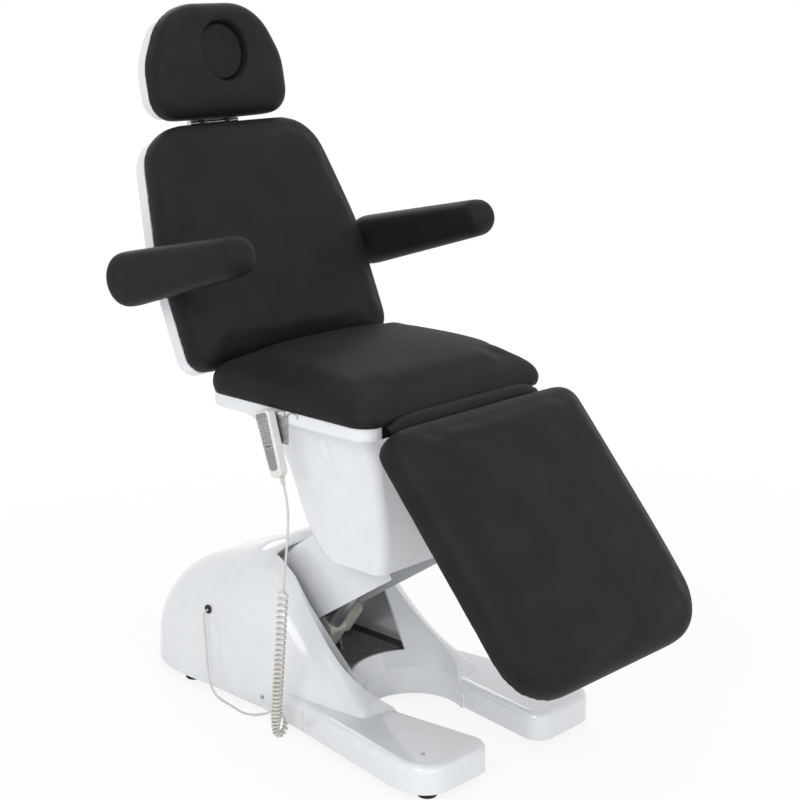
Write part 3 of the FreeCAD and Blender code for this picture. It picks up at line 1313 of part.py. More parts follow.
def nodes():
    shapes = {
        "base_cover": base_cover(),
        "base_frame": base_frame(),
        "rubber_feet": rubber_feet(),
        "cover_screws": cover_screws(),
        "actuator_deck": actuator_deck(),
        "pivot_towers": pivot_towers(),
        "lower_shafts": lower_shafts(),
        "control_box": control_box(),
        "cord_grommet": cord_grommet(),
        "lift_arm": lift_arm(),
        "arm_bushes": arm_bushes(),
        "arm_cover": arm_cover(),
        "lift_rod_pin": pivot_shaft(ROD_PIN, ROD_PIN_R, ARM_PLATE_Y),
        "level_link": level_link(),
        "lift_motor": lift_motor(),
        "lift_tube": lift_tube(),
        "lift_rod": lift_rod(),
        "seat_frame": seat_frame(),
        "seat_pan": seat_pan(),
        "seat_board": seat_board(),
        "seat_cushion": seat_cushion(),
        "hopper_cover": hopper_cover(),
        "upper_shafts": Part.makeCompound([arm_shaft(ARM_HEAD), link_shaft(LINK_HEAD)]),
        "hinge_pins": Part.makeCompound(pins(BACK_HINGE, PANEL_RAIL_Y) + pins(LEG_HINGE, PANEL_RAIL_Y)),
        "back_actuator": small_motor(BACK_TUBE, -SIDE_STEP, BACK_ROD_Z, True),
        "back_rod": small_rod(BACK_PIN_X, BACK_ROD_INNER, -SIDE_STEP, BACK_ROD_Z),
        "leg_actuator": small_motor(LEG_TUBE, SIDE_STEP, LEG_ROD_Z, False),
        "leg_rod": small_rod(LEG_PIN_X, LEG_ROD_INNER, SIDE_STEP, LEG_ROD_Z),
        "back_frame": back_frame(),
        "back_shell": back_shell(),
        "back_board": back_board(),
        "back_cushion": back_cushion(),
        "rest_bosses": Part.makeCompound(both_sides(rest_boss())),
        "rest_core_left": rest_core(True),
        "rest_core_right": rest_core(True).mirror(ORIGIN, AXIS_Y),
        "rest_pad_left": rest_pad(),
        "rest_pad_right": rest_pad().mirror(ORIGIN, AXIS_Y),
        "head_bracket": head_bracket(),
        "head_frame": head_frame(),
        "head_shell": head_shell(),
        "head_board": head_board(),
        "head_cushion": head_cushion(),
        "face_plug": face_plug(),
        "leg_frame": leg_frame(),
        "leg_board": leg_board(),
        "leg_cushion": leg_cushion(),
        "handset_hook": handset_hook(),
        "handset_shell": handset_shell(),
        "handset_panel": handset_panel(),
        "handset_gland": handset_gland(),
    }
    for i, place in enumerate(KEYS):
        shapes["key_" + str(i + 1)] = key(place)
    return shapes


def cords():
    return {"handset_cord_lead": cord_tube((tuple(LEAD_START),) + beside(LEAD_ROUTE), CORD_D, "lead"),
            "handset_cord_coil": cord_tube(beside(COIL_ROUTE), COIL_D, "coil"),
            "handset_cord_tail": cord_tube(beside(TAIL_ROUTE), CORD_D, "tail")}


BODY = nodes()
CORDS = cords()
BOX = FreeCAD.BoundBox()
for shape in BODY.values():
    BOX.add(shape.optimalBoundingBox(False, False))
SHIFT = V(-(BOX.XMin + BOX.XMax) / 2, -(BOX.YMin + BOX.YMax) / 2, -BOX.ZMin)

os.makedirs("parts", exist_ok=True)
for name, shape in list(BODY.items()) + list(CORDS.items()):
    moved(shape, SHIFT).exportStep("parts/" + name + ".step")
print("box", round(BOX.XLength, 1), round(BOX.YLength, 1), round(BOX.ZLength, 1), "shift", SHIFT)
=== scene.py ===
import json
import math
import bmesh
import bpy
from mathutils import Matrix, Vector


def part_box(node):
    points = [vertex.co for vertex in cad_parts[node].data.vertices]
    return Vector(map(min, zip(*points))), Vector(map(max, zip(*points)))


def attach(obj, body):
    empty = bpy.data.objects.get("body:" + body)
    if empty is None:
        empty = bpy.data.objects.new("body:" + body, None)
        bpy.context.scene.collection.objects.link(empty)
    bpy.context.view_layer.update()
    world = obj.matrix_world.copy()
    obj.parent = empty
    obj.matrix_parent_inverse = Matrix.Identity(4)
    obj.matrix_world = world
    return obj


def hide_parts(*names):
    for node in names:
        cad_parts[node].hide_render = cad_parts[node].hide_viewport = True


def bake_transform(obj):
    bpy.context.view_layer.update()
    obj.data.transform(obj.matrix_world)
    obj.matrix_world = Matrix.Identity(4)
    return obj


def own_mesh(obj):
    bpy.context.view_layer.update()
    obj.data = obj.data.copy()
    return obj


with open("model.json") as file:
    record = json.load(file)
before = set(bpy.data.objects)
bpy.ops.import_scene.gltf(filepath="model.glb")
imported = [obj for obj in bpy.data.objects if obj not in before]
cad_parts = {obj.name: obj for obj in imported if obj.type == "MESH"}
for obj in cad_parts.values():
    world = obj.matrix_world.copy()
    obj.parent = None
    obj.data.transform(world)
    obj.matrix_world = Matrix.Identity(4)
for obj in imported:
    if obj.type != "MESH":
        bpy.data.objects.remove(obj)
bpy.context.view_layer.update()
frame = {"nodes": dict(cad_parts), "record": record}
NODES = frame["nodes"]
# the part was drawn about another origin: its cable grommet, drawn at x = -330 mm, shows how far it was moved
GROMMET_X = -0.330
low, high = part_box("cord_grommet")
SHIFT = Vector(((low[0] + high[0]) / 2 - GROMMET_X, 0, 0))


UP = Vector((0, 0, 1))
SIDE = Vector((0, 1, 0))
AHEAD = Vector((1, 0, 0))


def metres(*mm):
    """A point of the part's own drawing, in millimetres, as a place in the frame."""
    return Vector(mm) / 1000 + SHIFT


def placed(name, data):
    """A new object in the scene that shows this mesh, curve, lamp or camera."""
    piece = bpy.data.objects.new(name, data)
    bpy.context.scene.collection.objects.link(piece)
    return piece


def smooth(mesh):
    """Shades the faces of a mesh as one curved skin."""
    for face in mesh.polygons:
        face.use_smooth = True


# Colours and nodes

def colour(hex_code):
    """An sRGB hex value as linear RGBA."""
    values = [int(hex_code[i:i + 2], 16) / 255 for i in (1, 3, 5)]
    return [v / 12.92 if v <= 0.04045 else ((v + 0.055) / 1.055) ** 2.4 for v in values] + [1.0]


def new_material(name):
    """A new material with its node tree and its shader."""
    material = bpy.data.materials.new(name)
    material.use_nodes = True
    tree = material.node_tree
    return material, tree, tree.nodes["Principled BSDF"]


def add(tree, kind, links=(), stops=(), **settings):
    """Adds one node. Settings are its properties or inputs, links (input, socket), and stops (place, hex)."""
    node = tree.nodes.new(kind)
    for key, value in settings.items():
        if hasattr(node, key):
            setattr(node, key, value)
        else:
            node.inputs[key.replace("_", " ")].default_value = value
    for name, socket in links:
        tree.links.new(socket, node.inputs[name])
    for index, (place, code) in enumerate(stops):
        elements = node.color_ramp.elements
        element = elements[index] if index < 2 else elements.new(place)
        element.position = place
        element.color = colour(code)
    return node


# Materials

def gelcoat():
    """Fibreglass under a white gel coat: glossy, near white, with the faint waves of a hand-laid mould."""
    material, tree, shader = new_material("moulded_gelcoat_white")
    place = add(tree, "ShaderNodeTexCoord").outputs["Object"]
    # waves about 90 mm long bend the reflections, and an orange peel of 4 mm softens them
    waves = add(tree, "ShaderNodeTexNoise", [("Vector", place)], Scale=1 / 0.09, Detail=2.0, Roughness=0.4)
    peel = add(tree, "ShaderNodeTexNoise", [("Vector", place)], Scale=1 / 0.004, Detail=1.0)
    low = add(tree, "ShaderNodeBump", [("Height", waves.outputs["Fac"])], Strength=0.06, Distance=0.004)
    skin = add(tree, "ShaderNodeBump", [("Height", peel.outputs["Fac"]), ("Normal", low.outputs["Normal"])],
               Strength=0.03, Distance=0.0004)
    tree.links.new(skin.outputs["Normal"], shader.inputs["Normal"])
    # wiping dulls the gloss in soft patches about 60 mm across
    patches = add(tree, "ShaderNodeTexNoise", [("Vector", place)], Scale=1 / 0.06, Detail=4.0)
    dull = add(tree, "ShaderNodeMapRange", [("Value", patches.outputs["Fac"])],
               From_Min=0.3, From_Max=0.7, To_Min=0.10, To_Max=0.18)
    tree.links.new(dull.outputs["Result"], shader.inputs["Roughness"])
    tint = add(tree, "ShaderNodeValToRGB", [("Fac", patches.outputs["Fac"])],
               ((0.25, "#e3e5e8"), (0.75, "#e9ebed")))
    tree.links.new(tint.outputs["Color"], shader.inputs["Base Color"])
    shader.inputs["Coat Weight"].default_value = 0.4
    shader.inputs["Coat Roughness"].default_value = 0.05
    return material


def leather():
    """Black polyurethane leather with an embossed pebble: a dark satin, brighter only on rolled edges."""
    material, tree, shader = new_material("embossed_pu_leather_black")
    place = add(tree, "ShaderNodeTexCoord").outputs["Object"]
    # the real pebble is about 1 mm; it is drawn at 2.2 mm so that it still shows from across a room
    cells = add(tree, "ShaderNodeTexVoronoi", [("Vector", place)],
                feature="DISTANCE_TO_EDGE", Scale=1 / 0.0022)
    pebble = add(tree, "ShaderNodeMapRange", [("Value", cells.outputs["Distance"])], From_Max=0.35)
    # the stretched cover also dips and swells over about 80 mm
    swell = add(tree, "ShaderNodeTexNoise", [("Vector", place)], Scale=1 / 0.08, Detail=2.0, Roughness=0.45)
    wide = add(tree, "ShaderNodeBump", [("Height", swell.outputs["Fac"])], Strength=0.3, Distance=0.005)
    grain = add(tree, "ShaderNodeBump", Strength=0.2, Distance=0.0004,
                links=[("Height", pebble.outputs["Result"]), ("Normal", wide.outputs["Normal"])])
    tree.links.new(grain.outputs["Normal"], shader.inputs["Normal"])
    tint = add(tree, "ShaderNodeValToRGB", [("Fac", swell.outputs["Fac"])],
               ((0.3, "#1c1c1c"), (0.7, "#212121")))
    tree.links.new(tint.outputs["Color"], shader.inputs["Base Color"])
    # the tops of the pebbles are rubbed a little smoother than the valleys
    shine = add(tree, "ShaderNodeMapRange", [("Value", pebble.outputs["Result"])], To_Min=0.6, To_Max=0.46)
    tree.links.new(shine.outputs["Result"], shader.inputs["Roughness"])
    shader.inputs["Specular IOR Level"].default_value = 0.12
    return material


def dust_cover():
    """Black spun-bonded cloth stapled over the leg board: flat, dull, with bonding dots 3 mm apart."""
    material, tree, shader = new_material("spun_bonded_cloth_black")
    place = add(tree, "ShaderNodeTexCoord").outputs["Object"]
    dots = add(tree, "ShaderNodeTexVoronoi", [("Vector", place)], Scale=1 / 0.003, Randomness=0.0)
    bump = add(tree, "ShaderNodeBump", [("Height", dots.outputs["Distance"])],
               Strength=0.4, Distance=0.0003)
    tree.links.new(bump.outputs["Normal"], shader.inputs["Normal"])
    fibres = add(tree, "ShaderNodeTexNoise", [("Vector", place)], Scale=1 / 0.001, Detail=4.0)
    tint = add(tree, "ShaderNodeValToRGB", [("Fac", fibres.outputs["Fac"])],
               ((0.3, "#141414"), (0.7, "#242424")))
    tree.links.new(tint.outputs["Color"], shader.inputs["Base Color"])
    shader.inputs["Roughness"].default_value = 0.9
    return material


def powder_coat():
    """Powder-coated steel tube: dark grey, with the fine stipple of baked powder."""
    material, tree, shader = new_material("powder_coated_steel_dark")
    place = add(tree, "ShaderNodeTexCoord").outputs["Object"]
    stipple = add(tree, "ShaderNodeTexNoise", [("Vector", place)], Scale=1 / 0.0015, Detail=2.0)
    bump = add(tree, "ShaderNodeBump", [("Height", stipple.outputs["Fac"])], Strength=0.15, Distance=0.0004)
    tree.links.new(bump.outputs["Normal"], shader.inputs["Normal"])
    wear = add(tree, "ShaderNodeTexNoise", [("Vector", place)], Scale=1 / 0.05, Detail=5.0)
    tint = add(tree, "ShaderNodeValToRGB", [("Fac", wear.outputs["Fac"])],
               ((0.35, "#3b3c3e"), (0.7, "#4a4b4d")))
    tree.links.new(tint.outputs["Color"], shader.inputs["Base Color"])
    shader.inputs["Roughness"].default_value = 0.5
    return material


def zinc_sheet():
    """Hot-dip galvanised sheet: bright grey, broken up by spangles about 9 mm across."""
    material, tree, shader = new_material("galvanised_sheet")
    place = add(tree, "ShaderNodeTexCoord").outputs["Object"]
    spangle = add(tree, "ShaderNodeTexVoronoi", [("Vector", place)], Scale=1 / 0.009)
    tint = add(tree, "ShaderNodeValToRGB", [("Fac", spangle.outputs["Color"])],
               ((0.0, "#9a9d9f"), (0.6, "#b4b6b7"), (1.0, "#c9cbcb")))
    tree.links.new(tint.outputs["Color"], shader.inputs["Base Color"])
    dull = add(tree, "ShaderNodeMapRange", [("Value", spangle.outputs["Color"])], To_Min=0.28, To_Max=0.46)
    tree.links.new(dull.outputs["Result"], shader.inputs["Roughness"])
    shader.inputs["Metallic"].default_value = 1.0
    return material


def hard_chrome():
    """Ground and hard-chromed steel: bright, with the fine marks of the grinding wheel."""
    material, tree, shader = new_material("hard_chromed_rod")
    place = add(tree, "ShaderNodeTexCoord").outputs["Object"]
    marks = add(tree, "ShaderNodeTexNoise", [("Vector", place)], Scale=1 / 0.002, Detail=3.0)
    dull = add(tree, "ShaderNodeMapRange", [("Value", marks.outputs["Fac"])], To_Min=0.12, To_Max=0.26)
    tree.links.new(dull.outputs["Result"], shader.inputs["Roughness"])
    shader.inputs["Base Color"].default_value = colour("#c8cacc")
    shader.inputs["Metallic"].default_value = 1.0
    return material


def bronze():
    """Sintered bronze: dull gold with oily pores."""
    material, tree, shader = new_material("sintered_bronze")
    place = add(tree, "ShaderNodeTexCoord").outputs["Object"]
    pores = add(tree, "ShaderNodeTexNoise", [("Vector", place)], Scale=1 / 0.0012, Detail=2.0)
    tint = add(tree, "ShaderNodeValToRGB", [("Fac", pores.outputs["Fac"])],
               ((0.35, "#7d5c31"), (0.65, "#a07c47")))
    tree.links.new(tint.outputs["Color"], shader.inputs["Base Color"])
    shader.inputs["Metallic"].default_value = 1.0
    shader.inputs["Roughness"].default_value = 0.42
    return material


def plywood():
    """Birch plywood: pale, with long grain along the board."""
    material, tree, shader = new_material("birch_plywood")
    place = add(tree, "ShaderNodeTexCoord").outputs["Object"]
    stretch = add(tree, "ShaderNodeMapping", [("Vector", place)], Scale=(1 / 0.12, 1 / 0.006, 1 / 0.006))
    fibre = add(tree, "ShaderNodeTexNoise", [("Vector", stretch.outputs["Vector"])], Scale=1.0, Detail=5.0)
    tint = add(tree, "ShaderNodeValToRGB", [("Fac", fibre.outputs["Fac"])],
               ((0.3, "#b99a6b"), (0.7, "#d8c095")))
    tree.links.new(tint.outputs["Color"], shader.inputs["Base Color"])
    bump = add(tree, "ShaderNodeBump", [("Height", fibre.outputs["Fac"])], Strength=0.2, Distance=0.0003)
    tree.links.new(bump.outputs["Normal"], shader.inputs["Normal"])
    shader.inputs["Roughness"].default_value = 0.65
    return material


def rubber():
    """Moulded black rubber: matt, with a dusty bloom."""
    material, tree, shader = new_material("moulded_rubber_black")
    place = add(tree, "ShaderNodeTexCoord").outputs["Object"]
    bloom = add(tree, "ShaderNodeTexNoise", [("Vector", place)], Scale=1 / 0.02, Detail=5.0)
    tint = add(tree, "ShaderNodeValToRGB", [("Fac", bloom.outputs["Fac"])],
               ((0.35, "#131313"), (0.75, "#262626")))
    tree.links.new(tint.outputs["Color"], shader.inputs["Base Color"])
    grit = add(tree, "ShaderNodeTexNoise", [("Vector", place)], Scale=1 / 0.001, Detail=1.0)
    bump = add(tree, "ShaderNodeBump", [("Height", grit.outputs["Fac"])], Strength=0.2, Distance=0.0003)
    tree.links.new(bump.outputs["Normal"], shader.inputs["Normal"])
    shader.inputs["Roughness"].default_value = 0.75
    return material


def moulded_plastic(name, dark, light, roughness, spark):
    """Moulded plastic: an even colour with the spark-eroded texture of its mould, spark mm across."""
    material, tree, shader = new_material(name)
    place = add(tree, "ShaderNodeTexCoord").outputs["Object"]
    texture = add(tree, "ShaderNodeTexNoise", [("Vector", place)], Scale=1000 / spark, Detail=2.0)
    bump = add(tree, "ShaderNodeBump", [("Height", texture.outputs["Fac"])], Strength=0.12, Distance=0.0003)
    tree.links.new(bump.outputs["Normal"], shader.inputs["Normal"])
    # handling leaves patches about 30 mm across
    handled = add(tree, "ShaderNodeTexNoise", [("Vector", place)], Scale=1 / 0.03, Detail=4.0)
    tint = add(tree, "ShaderNodeValToRGB", [("Fac", handled.outputs["Fac"])], ((0.3, dark), (0.7, light)))
    tree.links.new(tint.outputs["Color"], shader.inputs["Base Color"])
    shader.inputs["Roughness"].default_value = roughness
    return material


def drawn_aluminium():
    """Drawn and clear-anodised aluminium tube: pale and silky."""
    material, tree, shader = new_material("anodised_aluminium_tube")
    place = add(tree, "ShaderNodeTexCoord").outputs["Object"]
    lines = add(tree, "ShaderNodeTexNoise", [("Vector", place)], Scale=1 / 0.003, Detail=2.0)
    dull = add(tree, "ShaderNodeMapRange", [("Value", lines.outputs["Fac"])], To_Min=0.3, To_Max=0.45)
    tree.links.new(dull.outputs["Result"], shader.inputs["Roughness"])
    shader.inputs["Base Color"].default_value = colour("#c4c6c8")
    shader.inputs["Metallic"].default_value = 1.0
    return material


FINISH = {
    "white_shell": gelcoat(),
    "black_leather": leather(),
    "dust_cover": dust_cover(),
    "painted_frame": powder_coat(),
    "zinc_plate": zinc_sheet(),
    "polished_steel": hard_chrome(),
    "bronze": bronze(),
    "plywood": plywood(),
    "black_rubber": rubber(),
    "motor_plastic": moulded_plastic("moulded_abs_beige", "#c9c5b9", "#d6d2c7", 0.5, 1.5),
    "tube_metal": drawn_aluminium(),
    "handset_plastic": moulded_plastic("moulded_abs_warm_white", "#dcdad5", "#e4e2de", 0.42, 1.0),
    "panel_plastic": moulded_plastic("printed_film_grey", "#84878a", "#8e9194", 0.38, 0.8),
    "key_plastic": moulded_plastic("moulded_silicone_grey", "#a3a5a7", "#aeb0b1", 0.55, 0.8),
    "cord_plastic": moulded_plastic("extruded_pvc_pale", "#cbc8c0", "#d8d5cd", 0.45, 2.0),
}


def finish(piece, slot):
    """Gives a piece the material of one of the record's slots."""
    piece.data.materials.clear()
    piece.data.materials.append(FINISH[slot])
    return piece


for entry in frame["record"]["subparts"]:
    node = NODES[entry["node"]]
    node.data.materials.clear()
    node.data.materials.append(FINISH[entry["material_slot"]])


# Soft pieces

# points this close to a cushion's board are fixed to it
BOARD_SKIN = 0.004
# the cover as cloth: light, and stiff enough not to crease
PRESSURE = 4.0
CLOTH_FRAMES = 20
CLOTH_STEPS = 3
COVER_MASS = 0.4
COVER_STRETCH = 20
COVER_BEND = 2
SETTLE_ROUNDS = 14


def lean(degrees):
    """Unit vector that points up and forward, this far from upright."""
    return Vector((math.sin(math.radians(degrees)), 0, math.cos(math.radians(degrees))))


def copied(node, name):
    """A new object with the mesh of a CAD node, its doubled points joined."""
    mesh = NODES[node].data.copy()
    mesh.name = name
    work = bmesh.new()
    work.from_mesh(mesh)
    bmesh.ops.remove_doubles(work, verts=work.verts, dist=1e-5)
    work.to_mesh(mesh)
    work.free()
    return placed(name, mesh)


def evaluated(piece):
    """The piece's mesh with all its modifiers, as a new mesh."""
    bpy.context.view_layer.update()
    graph = bpy.context.evaluated_depsgraph_get()
    shown = piece.evaluated_get(graph)
    return bpy.data.meshes.new_from_object(shown, preserve_all_data_layers=True, depsgraph=graph)


def applied(piece):
    """Replaces the piece's mesh by its mesh with all modifiers."""
    result = evaluated(piece)
    piece.modifiers.clear()
    piece.data = result


def held_points(piece, board):
    """Groups the points that lie on the board under a cushion, and all the others."""
    place, normal = board
    piece.vertex_groups.clear()
    on_board = piece.vertex_groups.new(name="on_board")
    free = piece.vertex_groups.new(name="free")
    for vertex in piece.data.vertices:
        group = on_board if (vertex.co - place).dot(normal) < BOARD_SKIN else free
        group.add([vertex.index], 1.0, "REPLACE")


def crowned(piece, board, along, shape):
    """Crowns a cushion by shares of its height: fuller in the middle, lower towards its ends and sides."""
    place, normal = board
    across = normal.cross(along)
    middle_lift, end_drop, start_drop, side_drop = shape
    reaches = [vertex.co - place for vertex in piece.data.vertices]
    spots = [(reach.dot(along), reach.dot(across)) for reach in reaches]
    first = min(spot[0] for spot in spots)
    last = max(spot[0] for spot in spots)
    half = max(abs(spot[1]) for spot in spots)
    for vertex, (u, v) in zip(piece.data.vertices, spots):
        a = (2 * u - first - last) / (last - first)
        b = abs(v) / half
        share = middle_lift * (1 - a * a) * (1 - b * b) - side_drop * b ** 3
        share -= end_drop * max(a, 0) ** 2 + start_drop * max(-a, 0) ** 2
        vertex.co += normal * (max((vertex.co - place).dot(normal), 0) * share)


def puffed(piece, cap):
    """Blows the cover up as cloth held on the board. It only swells outwards, and no further than the cap."""
    start = [vertex.co.copy() for vertex in piece.data.vertices]
    cloth = piece.modifiers.new("cover", "CLOTH")
    cloth.settings.quality = CLOTH_STEPS
    cloth.settings.mass = COVER_MASS
    cloth.settings.tension_stiffness = COVER_STRETCH
    cloth.settings.compression_stiffness = COVER_STRETCH
    cloth.settings.bending_stiffness = COVER_BEND
    cloth.settings.use_pressure = True
    cloth.settings.uniform_pressure_force = PRESSURE
    cloth.settings.vertex_group_mass = "on_board"
    cloth.settings.effector_weights.gravity = 0
    cloth.collision_settings.use_collision = False
    scene = bpy.context.scene
    for step in range(1, CLOTH_FRAMES + 1):
        scene.frame_set(step)
    blown = piece.evaluated_get(bpy.context.evaluated_depsgraph_get()).data
    ends = [vertex.co.copy() for vertex in blown.vertices]
    piece.modifiers.remove(cloth)
    scene.frame_set(1)
    outward = [vertex.normal.copy() for vertex in piece.data.vertices]
    for vertex, first, last, normal in zip(piece.data.vertices, start, ends, outward):
        swell = min(max((last - first).dot(normal), 0), cap)
        vertex.co = first + normal * swell


def cushion(name, node, body, board, along, shape, voxel, rounds, cap):
    """A leather cushion in the place of its CAD solid: evenly meshed, crowned, rolled and blown up."""
    piece = copied(node, name)
    even = piece.modifiers.new("even", "REMESH")
    even.mode = "VOXEL"
    even.voxel_size = voxel
    applied(piece)
    crowned(piece, board, along, shape)
    held_points(piece, board)
    roll = piece.modifiers.new("roll", "SMOOTH")
    roll.iterations = rounds
    roll.vertex_group = "free"
    applied(piece)
    held_points(piece, board)
    if cap:
        puffed(piece, cap)
    settle = piece.modifiers.new("settle", "SMOOTH")
    settle.iterations = SETTLE_ROUNDS
    settle.vertex_group = "free"
    finer = piece.modifiers.new("finer", "SUBSURF")
    finer.levels = 1
    applied(piece)
    smooth(piece.data)
    finish(piece, "black_leather")
    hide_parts(node)
    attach(piece, body)


# how the boards lie at rest: a place on each, and the way it faces
SEAT_BOARD = (metres(0, 0, 796), UP)
BACK_HINGE = metres(-254, 0, 796)
BACK_OUT = lean(66.5)
BACK_UP = Vector((-BACK_OUT.z, 0, BACK_OUT.x))
BACK_BOARD = (BACK_HINGE, BACK_OUT)
LEG_HINGE = metres(300, 0, 780)
LEG_OUT = lean(48.6)
LEG_DOWN = Vector((LEG_OUT.z, 0, -LEG_OUT.x))
LEG_LIFT = 0.002
LEG_BOARD = (LEG_HINGE + LEG_OUT * LEG_LIFT, LEG_OUT)
HEAD_REACH, HEAD_BEHIND, HEAD_LIFT = 0.630, 0.018, 0.014
HEAD_OUT = lean(78.6)
HEAD_UP = Vector((-HEAD_OUT.z, 0, HEAD_OUT.x))
HEAD_HINGE = BACK_HINGE + BACK_UP * HEAD_REACH - BACK_OUT * HEAD_BEHIND
HEAD_BOARD = (HEAD_HINGE + HEAD_OUT * HEAD_LIFT, HEAD_OUT)

# each crown: lift of the middle, then drop of the far end, of the near end and of the sides
SEAT_CROWN = (0.05, 0.30, 0.04, 0.16)
BACK_CROWN = (0.06, 0.12, 0.0, 0.14)
LEG_CROWN = (0.06, 0.14, 0.0, 0.12)
HEAD_CROWN = (0.0, 0.14, 0.06, 0.14)
NO_CROWN = (0, 0, 0, 0)

# after the crown come the mesh size, the rounds that roll the edges, and the most that the cloth may swell
cushion("seat_cover", "seat_cushion", "seat", SEAT_BOARD, AHEAD, SEAT_CROWN, 0.008, 16, 0.012)
cushion("back_cover", "back_cushion", "backrest", BACK_BOARD, BACK_UP, BACK_CROWN, 0.008, 12, 0.010)
cushion("leg_cover", "leg_cushion", "legrest", LEG_BOARD, LEG_DOWN, LEG_CROWN, 0.008, 12, 0.012)
cushion("head_cover", "head_cushion", "head", HEAD_BOARD, HEAD_UP, HEAD_CROWN, 0.004, 6, 0.006)
cushion("face_plug_cover", "face_plug", "plug", HEAD_BOARD, HEAD_UP, NO_CROWN, 0.003, 2, 0)
for side, sign, end in (("left", 1, 0), ("right", -1, 1)):
    inner_face = (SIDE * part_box("rest_pad_" + side)[end][1], SIDE * sign)
    cushion("arm_pad_" + side, "rest_pad_" + side, "rest_" + side, inner_face, AHEAD, NO_CROWN, 0.005, 8, 0)


# Handset cord

CORD_D = 0.0055
COIL_D = 0.027
TURN_POINTS = 12
RUN_OUT = 0.008
# along the curl: how far each turn advances, wide at the top, which carries the weight, and close lower down
PITCHES = ((0.0, 0.0165), (0.7, 0.0098), (0.85, 0.0095), (1.0, 0.0105))
# and how wide the turns are: the curl runs out narrow in its bend on the floor
WIDTHS = ((0.0, 1.0), (0.76, 1.0), (0.84, 0.62), (1.0, 0.45))
LEAD_ROUTE = ((50.63, -308, 633.69), (58.2, -308, 611), (66, -310, 575), (65.5, -311, 535), (58, -312, 462),
              (47, -312, 388))
COIL_ROUTE = ((47, -312, 388), (8.5, -306.5, 60), (4.5, -306, 27.7), (3, -294.3, 16), (1, -277.7, 16),
              (-2, -266, 27.7), (-9, -264, 41))
TAIL_ROUTE = ((-330, -220.5, 212), (-329.5, -230, 211), (-327, -236, 203), (-321, -240, 184),
              (-315, -241, 150), (-311, -243, 104), (-304, -246, 62), (-293, -248, 32), (-274, -249, 12),
              (-249, -247, 4.5), (-221, -249, 4), (-192, -254, 4), (-161, -260, 6), (-131, -263, 12),
              (-103, -264, 21), (-80, -262.5, 31), (-58, -261.5, 43), (-38, -261, 53), (-20, -262, 53),
              (-9, -264, 41))


def line_curve(name, points, radius):
    """A smooth NURBS line through the places of a route, as thick as the radius says."""
    curve = bpy.data.curves.new(name, "CURVE")
    curve.dimensions = "3D"
    curve.resolution_u = 12
    curve.bevel_depth = radius
    curve.bevel_resolution = 4
    curve.use_fill_caps = radius > 0
    spline = curve.splines.new("NURBS")
    spline.points.add(len(points) - 1)
    for knot, point in zip(spline.points, points):
        knot.co = (*point, 1.0)
    spline.order_u = 3
    spline.use_endpoint_u = True
    return placed(name, curve)


def line_points(points):
    """The points of a route's NURBS line, in order."""
    guide = line_curve("guide", points, 0.0)
    found = [vertex.co.copy() for vertex in evaluated(guide).vertices]
    bpy.data.objects.remove(guide)
    return found


def measured(points):
    """How long the line through the points is."""
    return sum((b - a).length for a, b in zip(points, points[1:]))


def value_at(table, share):
    """A value of a table at this share of the curl's length."""
    for (first, before), (last, after) in zip(table, table[1:]):
        if share <= last:
            return before + (after - before) * (share - first) / (last - first)
    return table[-1][1]


def curly(points):
    """Places of a helix round a route's line, which starts and ends on the line itself."""
    line = line_points(points)
    total = measured(line)
    radius = (COIL_D - CORD_D) / 2
    across = AHEAD
    places = []
    angle = 0.0
    along = 0.0
    passed = 0.0
    for a, b in zip(line, line[1:]):
        step = (b - a).length
        tangent = (b - a) / step
        across = (across - tangent * across.dot(tangent)).normalized()
        while along < passed + step:
            ends = min(1.0, along / RUN_OUT, (total - along) / RUN_OUT)
            reach = radius * value_at(WIDTHS, along / total) * ends
            out = across * math.cos(angle) + tangent.cross(across) * math.sin(angle)
            places.append(a + tangent * (along - passed) + out * reach)
            along += value_at(PITCHES, along / total) / TURN_POINTS
            angle += 2 * math.pi / TURN_POINTS
        passed += step
    return places


lead = [metres(*place) for place in LEAD_ROUTE]
coil = [metres(*place) for place in COIL_ROUTE]
tail = [metres(*place) for place in TAIL_ROUTE]

curl = lead[:-1] + curly(coil)
curl_path = line_points(curl)
curl_piece = line_curve("curly_handset_cord", curl, CORD_D / 2)
curl_piece.data.resolution_u = 2
curl_mesh = evaluated(curl_piece)
bpy.data.objects.remove(curl_piece)
smooth(curl_mesh)
curl_piece = placed("curly_handset_cord", curl_mesh)
finish(curl_piece, "cord_plastic")
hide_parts("handset_cord_lead", "handset_cord_coil")
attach(curl_piece, "base")
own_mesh(curl_piece)

tail_piece = line_curve("plain_handset_cord", tail, CORD_D / 2)
finish(tail_piece, "cord_plastic")
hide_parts("handset_cord_tail")
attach(tail_piece, "base")
measured(line_points(tail))
# the gland is moulded onto the end of the cord, in the cord's own plastic
NODES["handset_gland"].data.materials[0] = FINISH["cord_plastic"]


# Marks on the handset and the wire of its hook

HANDSET_ANGLE = math.radians(71.5)
DOWN = Vector((math.cos(HANDSET_ANGLE), 0, -math.sin(HANDSET_ANGLE)))
ACROSS = Vector((math.sin(HANDSET_ANGLE), 0, math.cos(HANDSET_ANGLE)))
MARK_OFF = Vector((0, -0.00015, 0))


def front(node):
    """The middle of a node's face towards the camera's side."""
    low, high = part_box(node)
    return Vector(((low[0] + high[0]) / 2, low[1], (low[2] + high[2]) / 2)) + MARK_OFF


def mark(name, centre, outline, body, slot):
    """A flat printed mark: its outline is in mm across and down the handset."""
    mesh = bpy.data.meshes.new(name)
    places = [centre + (ACROSS * w + DOWN * u) / 1000 for w, u in outline]
    mesh.from_pydata(places, [], [tuple(range(len(places)))])
    piece = placed(name, mesh)
    finish(piece, slot)
    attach(piece, body)


